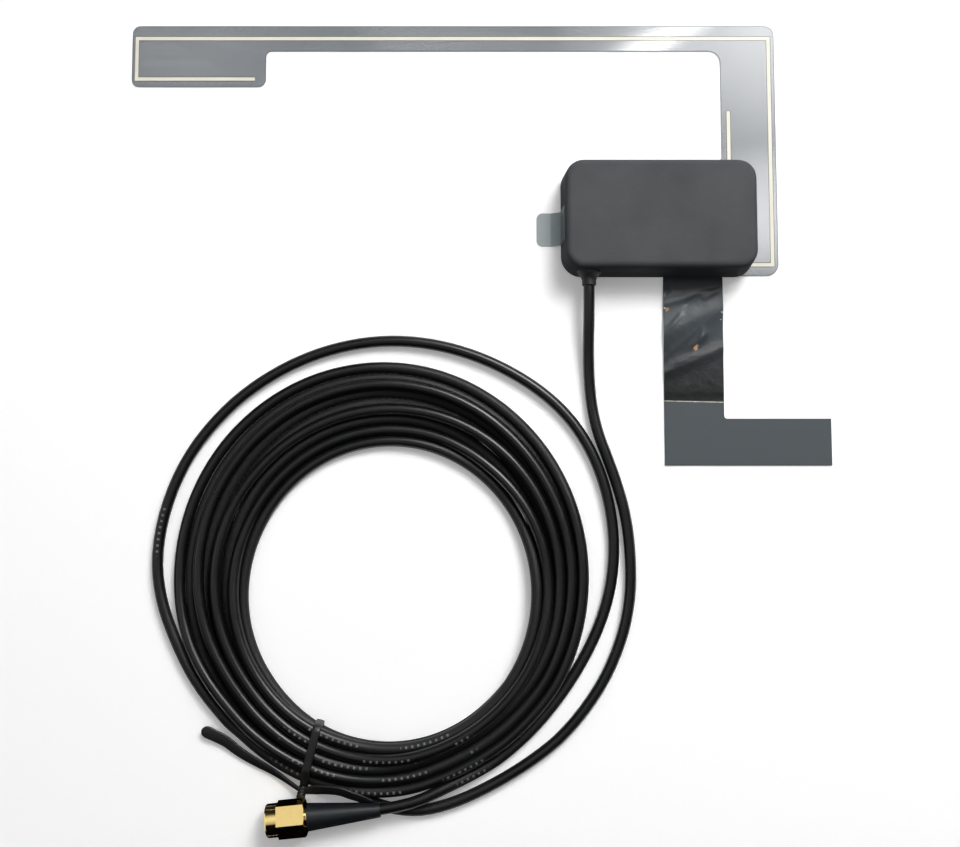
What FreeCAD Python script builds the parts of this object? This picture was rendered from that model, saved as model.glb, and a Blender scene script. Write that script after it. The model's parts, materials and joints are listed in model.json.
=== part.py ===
import FreeCAD, Part
import math
import os

Vec = FreeCAD.Vector
UP = Vec(0, 0, 1)

# All sizes are in millimetres. The origin is on the glass side, under the middle of the
# amplifier case; +X runs along the antenna strip, +Y up the windscreen, +Z off the glass.

# Antenna film: top strip, end pad at its free end, leg and terminal area under the case
film_thickness = 0.2
film_length = 164.7
film_overhang = 6.55
film_rise = 37.3
film_bottom_inset = 0.5
film_strip_width = 6.7
end_pad_length = 34.4
end_pad_depth = 16.1
leg_width = 13.9
terminal_inset = 12.25
terminal_rise = 1.65
film_corner = 2.0
film_top_right_corner = 2.5
film_bottom_right_corner = 3.0
leg_inner_corner = 3.0
end_pad_inner_corner = 1.5
terminal_inner_corner = 1.3

# Printed traces, flush in the film
trace_width = 0.9
trace_depth = 0.1
trace_top_inset = 3.3
trace_right_inset = 1.45
trace_left_inset = 1.2
trace_bottom_inset = 2.85
trace_end_pad_inset = 2.1
trace_end_inset = 2.85
short_trace_inset = 1.9
short_trace_rise = 14.9
contact_size = 4.0
contact_inset = 4.75
long_contact_rise = 1.0
short_contact_inset = 8.75

# Amplifier case
case_length = 48.5
case_width = 28.4
case_height = 9.5
case_draft = 0.75
case_corner = 5.25
case_edge_radius = 1.6
case_wall = 1.5
base_thickness = 1.2
base_clearance = 0.2
post_radius = 1.8
post_left_inset = 5.75
post_right_inset = 10.25
post_gland_inset = 13.25
post_side_inset = 5.75
post_root = 0.5
peg_radius = 0.9
peg_clearance = 0.05
peg_floor = 0.45
boss_radius = 2.2
boss_height = 0.9

# Adhesive pad under the case, and the clear tab stuck to the left wall and folded out
adhesive_thickness = 0.7
adhesive_inset = 1.5
tab_thickness = 0.15
tab_gap = 0.03
tab_y = -1.9
tab_width = 8.6
tab_length = 6.1
tab_flat = 3.6
tab_climb = 7.0
tab_fold_height = 0.35
tab_corner = 1.5

# Circuit board and what is soldered on it
board_end_margin = 3.25
board_side_margin = 3.75
board_thickness = 1.0
board_corner = 1.0
chip_size = (3.0, 3.0, 0.9)
chip_point = (-3.0, 1.0)
filter_size = (5.0, 5.0, 1.4)
filter_point = (5.0, 1.0)
capacitor_size = (1.6, 0.8, 0.8)
capacitor_points = [(-8.0, 3.0), (-8.0, -1.0), (-3.0, 5.0), (-3.0, -3.0), (10.0, 3.0), (10.0, -1.0)]
inductor_size = (2.0, 1.25, 1.1)
inductor_points = [(-12.5, 1.0), (1.0, 5.5), (14.5, 1.0)]

# Leaf springs that join the board to the traces and to the foil
spring_thickness = 0.2
spring_width = 2.0
spring_foot = 2.4
spring_reach = 2.2
spring_toe = 0.7
spring_toe_rise = 0.35
spring_tip_gap = 0.06
spring_window = 0.6
ground_spring_inset = 4.75

# Ground foil: tongue in the case, creased strip, flat foot on its own liner
foil_thickness = 0.12
foil_right_inset = 7.85
foil_width = 15.0
foil_tongue = 9.25
foil_strip = 31.1
foil_foot_drop = 4.6
foil_foot_width = 11.75
foil_foot_length = 41.7
foil_foot_corner = 0.7
foil_clearance = 0.05
foil_side_clearance = 0.2
foot_liner_thickness = 0.15
# Each crease runs from the left edge to the right edge: share of the strip passed at the left,
# the same at the right, and height of the underside above the glass
foil_creases = [(0.125, 0.06, 0.35), (0.31, 0.105, 0.30), (0.455, 0.145, 1.05), (0.577, 0.315, 0.25),
                (0.675, 0.45, 0.40), (0.777, 0.55, 0.85), (0.89, 0.74, 0.20), (0.985, 0.985, 0.02)]

# Coaxial cable, its gland and its stripped end on the board
cable_diameter = 2.8
cable_floor_gap = 0.05
gland_inset = 6.65
gland_straight = 8.75
jacket_inside = 3.25
cable_board_gap = 0.1
braid_diameter = 2.0
braid_length = 3.5
core_diameter = 1.5
core_length = 2.0
wire_diameter = 0.5
wire_length = 1.2
clip_thickness = 0.3
clip_width = 2.0
clip_inset = 0.7
clip_clearance = 0.05
grommet_hole_radius = 2.2
grommet_clearance = 0.05
grommet_bell_radius = 2.9
grommet_bell_length = 3.0
grommet_lip_radius = 1.75
grommet_waist = 1.3
grommet_curve = 2.2
grommet_flange = 0.9

# Route of the lead after its straight exit: down to the table, round the right of the coil,
# under the plug's tail and into the bundle
lead_route = [(-17.7, -35.0, 2.3), (-17.2, -44.8, 1.45), (-15.7, -52.8, 1.45), (-12.9, -60.1, 1.45),
              (-10.4, -67.3, 1.45), (-8.4, -75.2, 1.45), (-7.5, -85.0, 1.45), (-7.7, -94.8, 1.45),
              (-10.0, -104.9, 1.45), (-15.1, -116.0, 1.45), (-23.7, -127.0, 1.45), (-32.2, -133.6, 1.45),
              (-41.1, -138.9, 1.45), (-50.3, -143.2, 1.45), (-59.0, -145.5, 1.45), (-67.1, -144.6, 1.45),
              (-74.5, -141.8, 1.45), (-79.9, -137.3, 1.45)]

# Route of the tail: out of the bundle at the lower left, once round outside it, then up
# over the lead to the plug, whose axis gives the last two points
tail_route = [(-106.3, -124.0, 1.45), (-114.1, -114.7, 1.45), (-119.3, -104.6, 1.45),
              (-123.1, -94.8, 1.45), (-124.5, -84.0, 1.45), (-122.3, -71.2, 1.45), (-116.8, -58.5, 1.45),
              (-108.3, -48.0, 1.45), (-99.5, -40.8, 1.45), (-89.8, -35.4, 1.45), (-79.9, -32.0, 1.45),
              (-69.8, -30.4, 1.45), (-59.7, -30.7, 1.45), (-49.7, -32.8, 1.45), (-39.7, -36.7, 1.45),
              (-30.2, -42.4, 1.45), (-23.1, -48.8, 1.45), (-18.1, -55.9, 1.45), (-14.6, -63.7, 1.45),
              (-12.3, -72.6, 1.45), (-11.4, -82.4, 1.45), (-12.7, -93.4, 1.45), (-16.7, -104.5, 1.45),
              (-23.2, -115.5, 1.45), (-30.9, -125.1, 1.45), (-39.2, -132.5, 1.45), (-45.5, -136.1, 2.2),
              (-53.6, -139.8, 3.6)]
route_share = 0.45

# Coil: the outer shape of the bundle of turns
coil_height = 5.3
coil_edge_radius = 1.3
coil_outer_centre = (-68.95, -89.5)
coil_outer_half = (50.3, 52.5)
coil_inner_centre = (-66.7, -92.9)
coil_inner_half = (34.6, 36.0)

# Twist tie round the bundle
tie_inner_point = (-83.2, -122.9)
tie_outer_point = (-87.4, -139.95)
tie_width = 2.4
tie_thickness = 0.9
tie_clearance = 0.05
tie_groove_side = 0.3
tie_corner = 1.2
tie_knot_radius = 1.2
tie_tail_height = 0.3
tie_tail_thickness = 1.0
tie_tail_end_radius = 1.6
tie_long_tail = [(-87.5, -140.1), (-93.8, -137.3), (-100.0, -134.0), (-105.7, -130.7), (-111.2, -127.4)]
tie_edge_tail = [(-87.5, -140.1), (-80.6, -141.6), (-75.8, -142.05), (-72.2, -142.25)]
tie_edge_thickness = 0.5
tie_edge_bottom = 3.0

# Coaxial plug with a turning coupling nut; lengths run from the nut's front face
plug_front = (-95.6, -146.95)
plug_angle = 5.5
plug_floor_gap = 0.08
nut_flats = 8.0
nut_turn = 22.0
nut_length = 9.4
nut_collar_length = 2.8
nut_collar_radius = 3.95
nut_collar_chamfer = 0.3
nut_rear_chamfer = 0.45
nut_bore_radius = 2.95
nut_bore_depth = 6.4
running_clearance = 0.06
sleeve_radius = 2.29
sleeve_recess = 2.6
neck_radius = 2.44
neck_start = 6.6
flange_radius = 2.7
flange_gap = 0.3
flange_length = 1.8
stem_radius = 1.5
stem_length = 9.5
stem_bore = 0.8
dielectric_radius = 2.05
dielectric_recess = 0.3
dielectric_end = 10.5
pin_radius = 0.455
pin_front = 0.6
pin_tip = 0.3
pin_end = 14.0
ring_position = 8.0
ring_thickness = 0.5
ring_inner = 2.2
ring_outer = 2.75
ring_gap = 1.0
ring_groove_clearance = 0.08
gasket_length = 0.8
ferrule_inner = 1.65
ferrule_wall = 0.3
ferrule_gap = 0.7
ferrule_length = 8.4
shrink_front_gap = 0.5
shrink_length = 17.3
shrink_front_radius = 3.3
shrink_rear_radius = 1.7
shrink_clearance = 0.05
tail_end_gap = 0.2
tail_last_run = 11.8

# Levels and places that follow from the sizes above
case_bottom = film_thickness + adhesive_thickness
case_top = case_bottom + case_height
ceiling = case_top - case_wall
base_top = case_bottom + base_thickness
board_bottom = base_top + boss_height
board_top = board_bottom + board_thickness
wall_y = -case_width / 2
film_right = case_length / 2 + film_overhang
film_left = film_right - film_length
film_top = case_width / 2 + film_rise
film_bottom = wall_y + film_bottom_inset
terminal_left = -case_length / 2 + terminal_inset
terminal_top = case_width / 2 + terminal_rise
contact_x = case_length / 2 - contact_inset
short_contact_y = case_width / 2 - short_contact_inset
short_trace_top = case_width / 2 + short_trace_rise
post_y = case_width / 2 - post_side_inset
post_right = case_length / 2 - post_right_inset
post_points = [(-case_length / 2 + post_left_inset, post_y), (post_right, post_y), (post_right, -post_y),
               (-case_length / 2 + post_gland_inset, -post_y)]
gland_x = -case_length / 2 + gland_inset
cable_radius = cable_diameter / 2
cable_axis = board_top + cable_board_gap + cable_radius
jacket_end = wall_y + jacket_inside
braid_end = jacket_end + braid_length
core_end = braid_end + core_length
long_contact_y = film_bottom + trace_bottom_inset + long_contact_rise
ground_spring_y = wall_y + ground_spring_inset
foil_right = case_length / 2 - foil_right_inset
foil_left = foil_right - foil_width
ground_spring_x = foil_left + foil_width / 2
foil_tongue_end = wall_y + foil_tongue
foil_strip_end = wall_y - foil_strip
foot_top = foil_strip_end - foil_foot_drop
foot_bottom = foot_top - foil_foot_width
nut_corner = nut_flats / 2 / math.cos(math.radians(30))
plug_axis = nut_corner + plug_floor_gap
flange_start = nut_length + flange_gap
flange_end = flange_start + flange_length
stem_end = flange_end + stem_length
ferrule_start = flange_end + ferrule_gap
ferrule_end = ferrule_start + ferrule_length
ferrule_outer = ferrule_inner + ferrule_wall
shrink_start = nut_length + shrink_front_gap
shrink_end = shrink_start + shrink_length
tail_end = stem_end + tail_end_gap


def rounded_wire(corners):
    """Closed wire through (x, y, radius) corners, each rounded by its radius."""
    edges = []
    joints = []
    for index, (x, y, radius) in enumerate(corners):
        point = Vec(x, y, 0)
        before = Vec(*corners[index - 1][:2], 0)
        after = Vec(*corners[(index + 1) % len(corners)][:2], 0)
        into = (point - before).normalize()
        out = (after - point).normalize()
        setback = radius * math.tan(into.getAngle(out) / 2)
        start = point - into * setback
        end = point + out * setback
        middle = None
        if radius > 0:
            inward = (out - into).normalize()
            reach = radius / math.cos(into.getAngle(out) / 2) - radius
            middle = point + inward * reach
        joints.append((start, middle, end))
    for index, (start, middle, end) in enumerate(joints):
        last_end = joints[index - 1][2]
        edges.append(Part.LineSegment(last_end, start).toShape())
        if middle is not None:
            edges.append(Part.Arc(start, middle, end).toShape())
    return Part.Wire(edges)


def rounded_prism(corners, bottom, height):
    """Upright prism on a rounded outline."""
    face = Part.Face(rounded_wire(corners))
    face.translate(Vec(0, 0, bottom))
    return face.extrude(Vec(0, 0, height))


def rectangle(half_x, half_y, radius, centre=(0, 0)):
    """Corners of a rounded rectangle, anticlockwise."""
    x, y = centre
    return [(x - half_x, y - half_y, radius), (x + half_x, y - half_y, radius),
            (x + half_x, y + half_y, radius), (x - half_x, y + half_y, radius)]


def ribbon(points, width):
    """Corners of a band of constant width along a line of points, with mitred bends."""
    left = []
    right = []
    for index, (x, y) in enumerate(points):
        here = Vec(x, y, 0)
        ahead = Vec(*points[min(index + 1, len(points) - 1)], 0)
        behind = Vec(*points[max(index - 1, 0)], 0)
        into = (here - behind).normalize() if index > 0 else (ahead - here).normalize()
        out = (ahead - here).normalize() if index < len(points) - 1 else into
        side = UP.cross(into) + UP.cross(out)
        offset = side * (width / 2 / (1 + into.dot(out)))
        left.append((x + offset.x, y + offset.y, 0))
        right.append((x - offset.x, y - offset.y, 0))
    return right + left[::-1]


def box(x_range, y_range, z_range):
    """Block between three pairs of limits."""
    size = [high - low for low, high in (x_range, y_range, z_range)]
    return Part.makeBox(*size, Vec(x_range[0], y_range[0], z_range[0]))


def bent_strip(points, thickness, x_range):
    """Sheet strip bent along (y, z) points, extruded across X."""
    face = Part.Face(rounded_wire(ribbon(points, thickness)))
    turn = FreeCAD.Rotation(Vec(0, 1, 0), UP, Vec(1, 0, 0), "XYZ")
    face.Placement = FreeCAD.Placement(Vec(x_range[0], 0, 0), turn)
    return face.extrude(Vec(x_range[1] - x_range[0], 0, 0))


def turned(profile, placement):
    """Solid of revolution of (along, radius, rounding) corners, set at a placement."""
    face = Part.Face(rounded_wire(profile))
    solid = face.revolve(Vec(0, 0, 0), Vec(1, 0, 0), 360)
    solid.Placement = placement
    return solid


def steps(points):
    """Profile corners without rounding."""
    return [(along, radius, 0) for along, radius in points]


def route_wire(points):
    """Straight runs joined by tangent arcs, each as large as its two runs allow."""
    edges = []
    radii = []
    start = points[0]
    for before, corner, after in zip(points, points[1:], points[2:]):
        into = Vec(corner - before).normalize()
        out = Vec(after - corner).normalize()
        half_turn = into.getAngle(out) / 2
        setback = route_share * min((corner - before).Length, (after - corner).Length)
        radius = setback / math.tan(half_turn)
        inward = Vec(out - into).normalize()
        middle = corner + inward * (radius / math.cos(half_turn) - radius)
        arc_start = corner - into * setback
        arc_end = corner + out * setback
        edges.append(Part.LineSegment(start, arc_start).toShape())
        edges.append(Part.Arc(arc_start, middle, arc_end).toShape())
        radii.append(radius)
        start = arc_end
    edges.append(Part.LineSegment(start, points[-1]).toShape())
    return Part.Wire(edges), radii


def tube(points, radius, name):
    """Round bar along a route; prints its bend radii and its volume against its length."""
    wire, radii = route_wire(points)
    ring = Part.Circle(points[0], points[1] - points[0], radius).toShape()
    solid = wire.makePipeShell([Part.Wire(ring)], True, False)
    ideal = math.pi * radius ** 2 * wire.Length
    print(name, "length", round(wire.Length, 2), "volume ratio", round(solid.Volume / ideal, 5))
    print(name, "radii", [round(value, 1) for value in radii])
    return solid


def film_outline():
    """Corners of the film, from the free end of its strip round to the leg and back."""
    strip_bottom = film_top - film_strip_width
    pad_right = film_left + end_pad_length
    pad_bottom = film_top - end_pad_depth
    leg_left = film_right - leg_width
    return [(film_left, film_top, film_corner),
            (film_left, pad_bottom, film_corner),
            (pad_right, pad_bottom, film_corner),
            (pad_right, strip_bottom, end_pad_inner_corner),
            (leg_left, strip_bottom, leg_inner_corner),
            (leg_left, terminal_top, terminal_inner_corner),
            (terminal_left, terminal_top, film_corner),
            (terminal_left, film_bottom, film_corner),
            (film_right, film_bottom, film_bottom_right_corner),
            (film_right, film_top, film_top_right_corner)]


def contact_pad(y):
    """Printed square that a spring presses on."""
    half = contact_size / 2
    return rounded_prism(rectangle(half, half, 0, (contact_x, y)), film_thickness - trace_depth, trace_depth)


def trace(points, contact_y):
    """Printed line with its contact pad."""
    line = rounded_prism(ribbon(points, trace_width), film_thickness - trace_depth, trace_depth)
    return line.fuse(contact_pad(contact_y)).removeSplitter()


def make_long_trace():
    """Trace round the outside of the film, from the lower contact to the end pad."""
    low = film_bottom + trace_bottom_inset
    right = film_right - trace_right_inset
    top = film_top - trace_top_inset
    left = film_left + trace_left_inset
    pad_low = film_top - end_pad_depth + trace_end_pad_inset
    pad_end = film_left + end_pad_length - trace_end_inset
    points = [(contact_x, low), (right, low), (right, top), (left, top), (left, pad_low), (pad_end, pad_low)]
    return trace(points, long_contact_y)


def make_short_trace():
    """Trace down the inner side of the leg to the upper contact."""
    x = film_right - leg_width + short_trace_inset
    return trace([(x, short_trace_top), (x, short_contact_y)], short_contact_y)


def make_film(long_trace, short_trace):
    """Clear film with the traces let into its upper side."""
    sheet = rounded_prism(film_outline(), 0, film_thickness)
    return sheet.cut(long_trace).cut(short_trace)


def case_section(height, inset):
    """Outline of the drafted case at a height, moved inwards by an inset."""
    inward = inset + case_draft * (height - case_bottom) / case_height
    radius = case_corner - inward
    wire = rounded_wire(rectangle(case_length / 2 - inward, case_width / 2 - inward, radius))
    wire.translate(Vec(0, 0, height))
    return wire


def spring_places():
    """Contact x, contact y and contact height of each leaf spring."""
    return {"long_trace_spring": (contact_x, long_contact_y, film_thickness),
            "short_trace_spring": (contact_x, short_contact_y, film_thickness),
            "ground_spring": (ground_spring_x, ground_spring_y, case_bottom + foil_thickness)}


def spring_slot(x, y, bottom, top):
    """Window that a leaf spring passes through."""
    half = spring_width / 2 + spring_window
    y_range = (y - spring_toe - spring_window, y + spring_reach + spring_foot + spring_window)
    return box((x - half, x + half), y_range, (bottom, top))


def foil_space(y_low, y_high):
    """Room for the foil's tongue under the case."""
    x_range = (foil_left - foil_side_clearance, foil_right + foil_side_clearance)
    return box(x_range, (y_low, y_high), (case_bottom, case_bottom + foil_thickness + foil_clearance))


def make_cover():
    """Moulded case cover: drafted shell with posts and pegs that hold the board and the base."""
    outer = Part.makeLoft([case_section(case_bottom, 0), case_section(case_top, 0)], True, True)
    rim = [edge for edge in outer.Edges if edge.BoundBox.ZMin > case_top - case_edge_radius]
    outer = outer.makeFillet(case_edge_radius, rim)
    cavity_ends = [case_section(case_bottom, case_wall), case_section(ceiling, case_wall)]
    cavity = Part.makeLoft(cavity_ends, True, True)
    cover = outer.cut(cavity)
    peg_bottom = case_bottom + peg_floor + peg_clearance
    for x, y in post_points:
        post = Part.makeCylinder(post_radius, ceiling + post_root - board_top, Vec(x, y, board_top))
        peg = Part.makeCylinder(peg_radius, board_top - peg_bottom, Vec(x, y, peg_bottom))
        cover = cover.fuse(post).fuse(peg)
    cover = cover.cut(foil_space(wall_y - case_wall, wall_y + 2 * case_wall))
    hole = Part.makeCylinder(grommet_hole_radius, 3 * case_wall, Vec(gland_x, wall_y - case_wall, cable_axis),
                             Vec(0, 1, 0))
    return cover.cut(hole).removeSplitter()


def make_base():
    """Bottom plate inside the cover, with bosses for the pegs, spring windows and the foil pocket."""
    outline = case_section(base_top, case_wall + base_clearance)
    outline.translate(Vec(0, 0, case_bottom - base_top))
    base = Part.Face(outline).extrude(Vec(0, 0, base_thickness))
    for x, y in post_points:
        base = base.fuse(Part.makeCylinder(boss_radius, boss_height, Vec(x, y, base_top)))
    hole_bottom = case_bottom + peg_floor
    for x, y in post_points:
        hole = Part.makeCylinder(peg_radius + peg_clearance, board_bottom - hole_bottom, Vec(x, y, hole_bottom))
        base = base.cut(hole)
    for x, y, _ in spring_places().values():
        base = base.cut(spring_slot(x, y, case_bottom, base_top))
    return base.cut(foil_space(wall_y, foil_tongue_end + foil_side_clearance))


def make_adhesive():
    """Foam adhesive pad under the case, open below the trace springs."""
    half_x = case_length / 2 - adhesive_inset
    half_y = case_width / 2 - adhesive_inset
    outline = rectangle(half_x, half_y, case_corner - adhesive_inset)
    pad = rounded_prism(outline, film_thickness, adhesive_thickness)
    places = spring_places()
    for name in ("long_trace_spring", "short_trace_spring"):
        x, y, _ = places[name]
        pad = pad.cut(spring_slot(x, y, film_thickness, case_bottom))
    return pad


def make_tab():
    """Clear tab: up the case's left wall, folded at the wall's foot and out over the glass."""
    edge = -case_length / 2
    end = edge - tab_length
    beside = tab_gap + tab_thickness / 2
    low = tab_thickness / 2
    climb_top = case_bottom + tab_climb
    fold = case_bottom + tab_fold_height
    wall_top_x = edge + case_draft * tab_climb / case_height - beside
    wall_foot_x = edge + case_draft * tab_fold_height / case_height - beside
    line = [(wall_top_x, climb_top), (wall_foot_x, fold), (end + tab_flat, low), (end, low)]
    face = Part.Face(rounded_wire(ribbon(line, tab_thickness)))
    turn = FreeCAD.Rotation(Vec(1, 0, 0), UP, Vec(0, -1, 0), "XYZ")
    face.Placement = FreeCAD.Placement(Vec(0, tab_y + tab_width / 2, 0), turn)
    tab = face.extrude(Vec(0, -tab_width, 0))
    half = tab_width / 2
    outline = [(end, tab_y - half, tab_corner), (0, tab_y - half, 0),
               (0, tab_y + half, 0), (end, tab_y + half, tab_corner)]
    return tab.common(rounded_prism(outline, 0, case_top))


def make_board():
    """Circuit board with holes for the cover's pegs."""
    outline = rectangle(case_length / 2 - board_end_margin, case_width / 2 - board_side_margin, board_corner)
    board = rounded_prism(outline, board_bottom, board_thickness)
    for x, y in post_points:
        hole = Part.makeCylinder(peg_radius + peg_clearance, board_thickness, Vec(x, y, board_bottom))
        board = board.cut(hole)
    return board


def on_board(size, points):
    """Components of one size, seated on the board."""
    length, width, height = size
    blocks = [box((x - length / 2, x + length / 2), (y - width / 2, y + width / 2),
                  (board_top, board_top + height)) for x, y in points]
    return blocks[0] if len(blocks) == 1 else Part.makeCompound(blocks)


def make_spring(x, y, contact):
    """Leaf spring: foot under the board, arm down to its contact, turned-up toe."""
    foot = board_bottom - spring_thickness / 2
    tip = contact + spring_tip_gap + spring_thickness / 2
    points = [(y + spring_reach + spring_foot, foot), (y + spring_reach, foot), (y, tip),
              (y - spring_toe, tip + spring_toe_rise)]
    return bent_strip(points, spring_thickness, (x - spring_width / 2, x + spring_width / 2))


def make_clip():
    """Bridge soldered on the board over the cable's braid."""
    inner = braid_diameter / 2 + clip_clearance
    outer = inner + clip_thickness
    start = Vec(gland_x, jacket_end + clip_inset, cable_axis)
    along = Vec(0, 1, 0)
    y_range = (start.y, start.y + clip_width)
    bridge = Part.makeCylinder(outer, clip_width, start, along)
    bridge = bridge.fuse(box((gland_x - outer, gland_x + outer), y_range, (board_top, cable_axis)))
    bridge = bridge.cut(Part.makeCylinder(inner, clip_width, start, along))
    return bridge.cut(box((gland_x - inner, gland_x + inner), y_range, (board_top, cable_axis)))


def make_wire():
    """Bared centre wire, bent down to the board."""
    start = Vec(gland_x, core_end, cable_axis)
    bend = start + Vec(0, wire_length, 0)
    end = Vec(bend.x, bend.y, board_top)
    return tube([start, bend, end], wire_diameter / 2, "core_wire")


def make_grommet(cover):
    """Gland in the case wall: bell outside, neck in the wall's hole, flange inside."""
    bore = cable_radius + grommet_clearance
    inside = -case_wall - case_draft - grommet_flange
    profile = [(inside, bore, 0), (grommet_bell_length, bore, 0), (grommet_bell_length, grommet_lip_radius, 0),
               (grommet_waist, grommet_lip_radius, grommet_curve), (0, grommet_bell_radius, 0),
               (inside, grommet_bell_radius, 0)]
    turn = FreeCAD.Rotation(Vec(0, -1, 0), UP, Vec(-1, 0, 0), "XYZ")
    gland = turned(profile, FreeCAD.Placement(Vec(gland_x, wall_y, cable_axis), turn))
    return gland.cut(cover)


def polyhedron(faces):
    """Solid from planar polygons that close a volume."""
    sides = [Part.Face(Part.makePolygon(points + points[:1])) for points in faces]
    solid = Part.Solid(Part.Shell(sides))
    solid.fix(1e-6, 1e-6, 1e-6)
    return solid


def creased_strip():
    """Foil between the case wall and its flat foot, in flat triangles between the creases."""
    thick = Vec(0, 0, foil_thickness)
    rows = [(0, 0, case_bottom)] + foil_creases + [(1, 1, foot_liner_thickness)]
    left = [Vec(foil_left, wall_y - foil_strip * row[0], row[2]) for row in rows]
    right = [Vec(foil_right, wall_y - foil_strip * row[1], row[2]) for row in rows]
    faces = [[left[0], right[0], right[0] + thick, left[0] + thick],
             [left[-1], right[-1], right[-1] + thick, left[-1] + thick]]
    for index in range(len(rows) - 1):
        nearer_left, further_left = left[index], left[index + 1]
        nearer_right, further_right = right[index], right[index + 1]
        halves = ([nearer_left, nearer_right, further_left], [nearer_right, further_right, further_left])
        for triangle in halves:
            faces.append(triangle)
            faces.append([point + thick for point in triangle])
        faces.append([nearer_left, further_left, further_left + thick, nearer_left + thick])
        faces.append([nearer_right, further_right, further_right + thick, nearer_right + thick])
    return polyhedron(faces)


def foot_corners():
    """Outline of the foil's flat part: end of the strip and the foot to its right."""
    foot_right = foil_left + foil_foot_length
    return [(foil_left, foil_strip_end, 0), (foil_left, foot_bottom, 0),
            (foot_right, foot_bottom, 0), (foot_right, foot_top, 0),
            (foil_right, foot_top, foil_foot_corner), (foil_right, foil_strip_end, 0)]


def make_foil():
    """Ground foil in one piece: tongue, creased strip and flat foot."""
    tongue_top = case_bottom + foil_thickness
    tongue = box((foil_left, foil_right), (wall_y, foil_tongue_end), (case_bottom, tongue_top))
    foot = rounded_prism(foot_corners(), foot_liner_thickness, foil_thickness)
    return creased_strip().fuse(tongue).fuse(foot)


def make_foot_liner():
    """Release liner under the flat foot."""
    return rounded_prism(foot_corners(), 0, foot_liner_thickness)


def plug_placement():
    """Frame of the plug: its X runs from the nut's front face back along the axis."""
    return FreeCAD.Placement(Vec(*plug_front, plug_axis), FreeCAD.Rotation(UP, plug_angle))


def plug_point(along):
    """Point on the plug's axis, a distance behind the nut's front face."""
    return plug_placement().multVec(Vec(along, 0, 0))


def make_lead():
    """Cable from the board to the bundle."""
    start = [Vec(gland_x, jacket_end, cable_axis), Vec(gland_x, wall_y - gland_straight, cable_axis)]
    return tube(start + [Vec(*point) for point in lead_route], cable_radius, "cable_lead")


def make_tail():
    """Cable from the bundle to the plug."""
    end = [plug_point(tail_end + tail_last_run), plug_point(tail_end)]
    return tube([Vec(*point) for point in tail_route] + end, cable_radius, "cable_tail")


def oval_prism(centre, half, bottom, top):
    """Upright prism on an oval of four tangent arcs, given by its half sizes along X and Y."""
    half_x, half_y = half
    end_radius = half_x ** 2 / half_y
    rise = half_y - end_radius
    excess = half_x - half_y
    shift = -excess * (excess + 2 * rise) / (2 * (rise + excess))
    reach = end_radius / math.hypot(shift, rise)
    tangent_x = abs(shift) * reach
    tangent_y = rise + abs(rise) * reach
    middle = Vec(*centre, bottom)
    right_top = middle + Vec(tangent_x, tangent_y, 0)
    right_low = middle + Vec(tangent_x, -tangent_y, 0)
    left_top = middle + Vec(-tangent_x, tangent_y, 0)
    left_low = middle + Vec(-tangent_x, -tangent_y, 0)
    arcs = [Part.Arc(right_low, middle + Vec(half_x, 0, 0), right_top),
            Part.Arc(right_top, middle + Vec(0, half_y, 0), left_top),
            Part.Arc(left_top, middle - Vec(half_x, 0, 0), left_low),
            Part.Arc(left_low, middle - Vec(0, half_y, 0), right_low)]
    wire = Part.Wire([arc.toShape() for arc in arcs])
    return Part.Face(wire).extrude(Vec(0, 0, top - bottom))


def tie_frame():
    """Frame of the tie: X from the coil's inside outwards, Y up, Z along the bundle."""
    inner = Vec(*tie_inner_point, 0)
    outward = Vec(Vec(*tie_outer_point, 0) - inner).normalize()
    turn = FreeCAD.Rotation(outward, UP, outward.cross(UP), "XYZ")
    return FreeCAD.Placement(inner, turn)


def make_coil():
    """Outer shape of the bundle, with a groove below for the tie."""
    outer = oval_prism(coil_outer_centre, coil_outer_half, 0, coil_height)
    inner = oval_prism(coil_inner_centre, coil_inner_half, 0, coil_height)
    ring = outer.cut(inner)
    rims = [edge for edge in ring.Edges if edge.BoundBox.ZLength < coil_edge_radius]
    ring = ring.makeFillet(coil_edge_radius, rims)
    span = (Vec(*tie_outer_point, 0) - Vec(*tie_inner_point, 0)).Length
    half = tie_width / 2 + tie_groove_side
    groove = box((0, span), (0, cable_floor_gap + tie_thickness + tie_clearance), (-half, half))
    groove.Placement = tie_frame()
    return ring.cut(groove)


def make_tie():
    """Twist tie: band round the bundle, knot, long flat tail and a tail on its edge."""
    span = (Vec(*tie_outer_point, 0) - Vec(*tie_inner_point, 0)).Length
    bottom = cable_floor_gap
    top = coil_height + tie_clearance + tie_thickness
    middle = (span / 2, (bottom + top) / 2)
    half_height = (top - bottom) / 2
    outside = rounded_prism(rectangle(span / 2, half_height, tie_corner, middle), -tie_width / 2, tie_width)
    inside = rounded_prism(rectangle(span / 2 - tie_thickness, half_height - tie_thickness,
                                     tie_corner - tie_thickness, middle), -tie_width / 2, tie_width)
    band = outside.cut(inside)
    band.Placement = tie_frame()
    knot_point = Vec(*tie_long_tail[0], tie_tail_height)
    knot = Part.makeCylinder(tie_knot_radius, coil_height - tie_tail_height, knot_point)
    long_tail = rounded_prism(ribbon(tie_long_tail, tie_width), tie_tail_height, tie_tail_thickness)
    end = Part.makeCylinder(tie_tail_end_radius, tie_tail_thickness, Vec(*tie_long_tail[-1], tie_tail_height))
    edge_tail = rounded_prism(ribbon(tie_edge_tail, tie_edge_thickness), tie_edge_bottom, tie_width)
    return band.fuse([knot, long_tail, end, edge_tail]).removeSplitter()


def hexagon(length):
    """Hexagonal bar along X, its upper flat turned about the axis by the nut's angle."""
    angles = [math.radians(60 * step - nut_turn) for step in range(7)]
    points = [Vec(0, nut_corner * math.cos(angle), nut_corner * math.sin(angle)) for angle in angles]
    return Part.Face(Part.makePolygon(points)).extrude(Vec(length, 0, 0))


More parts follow.
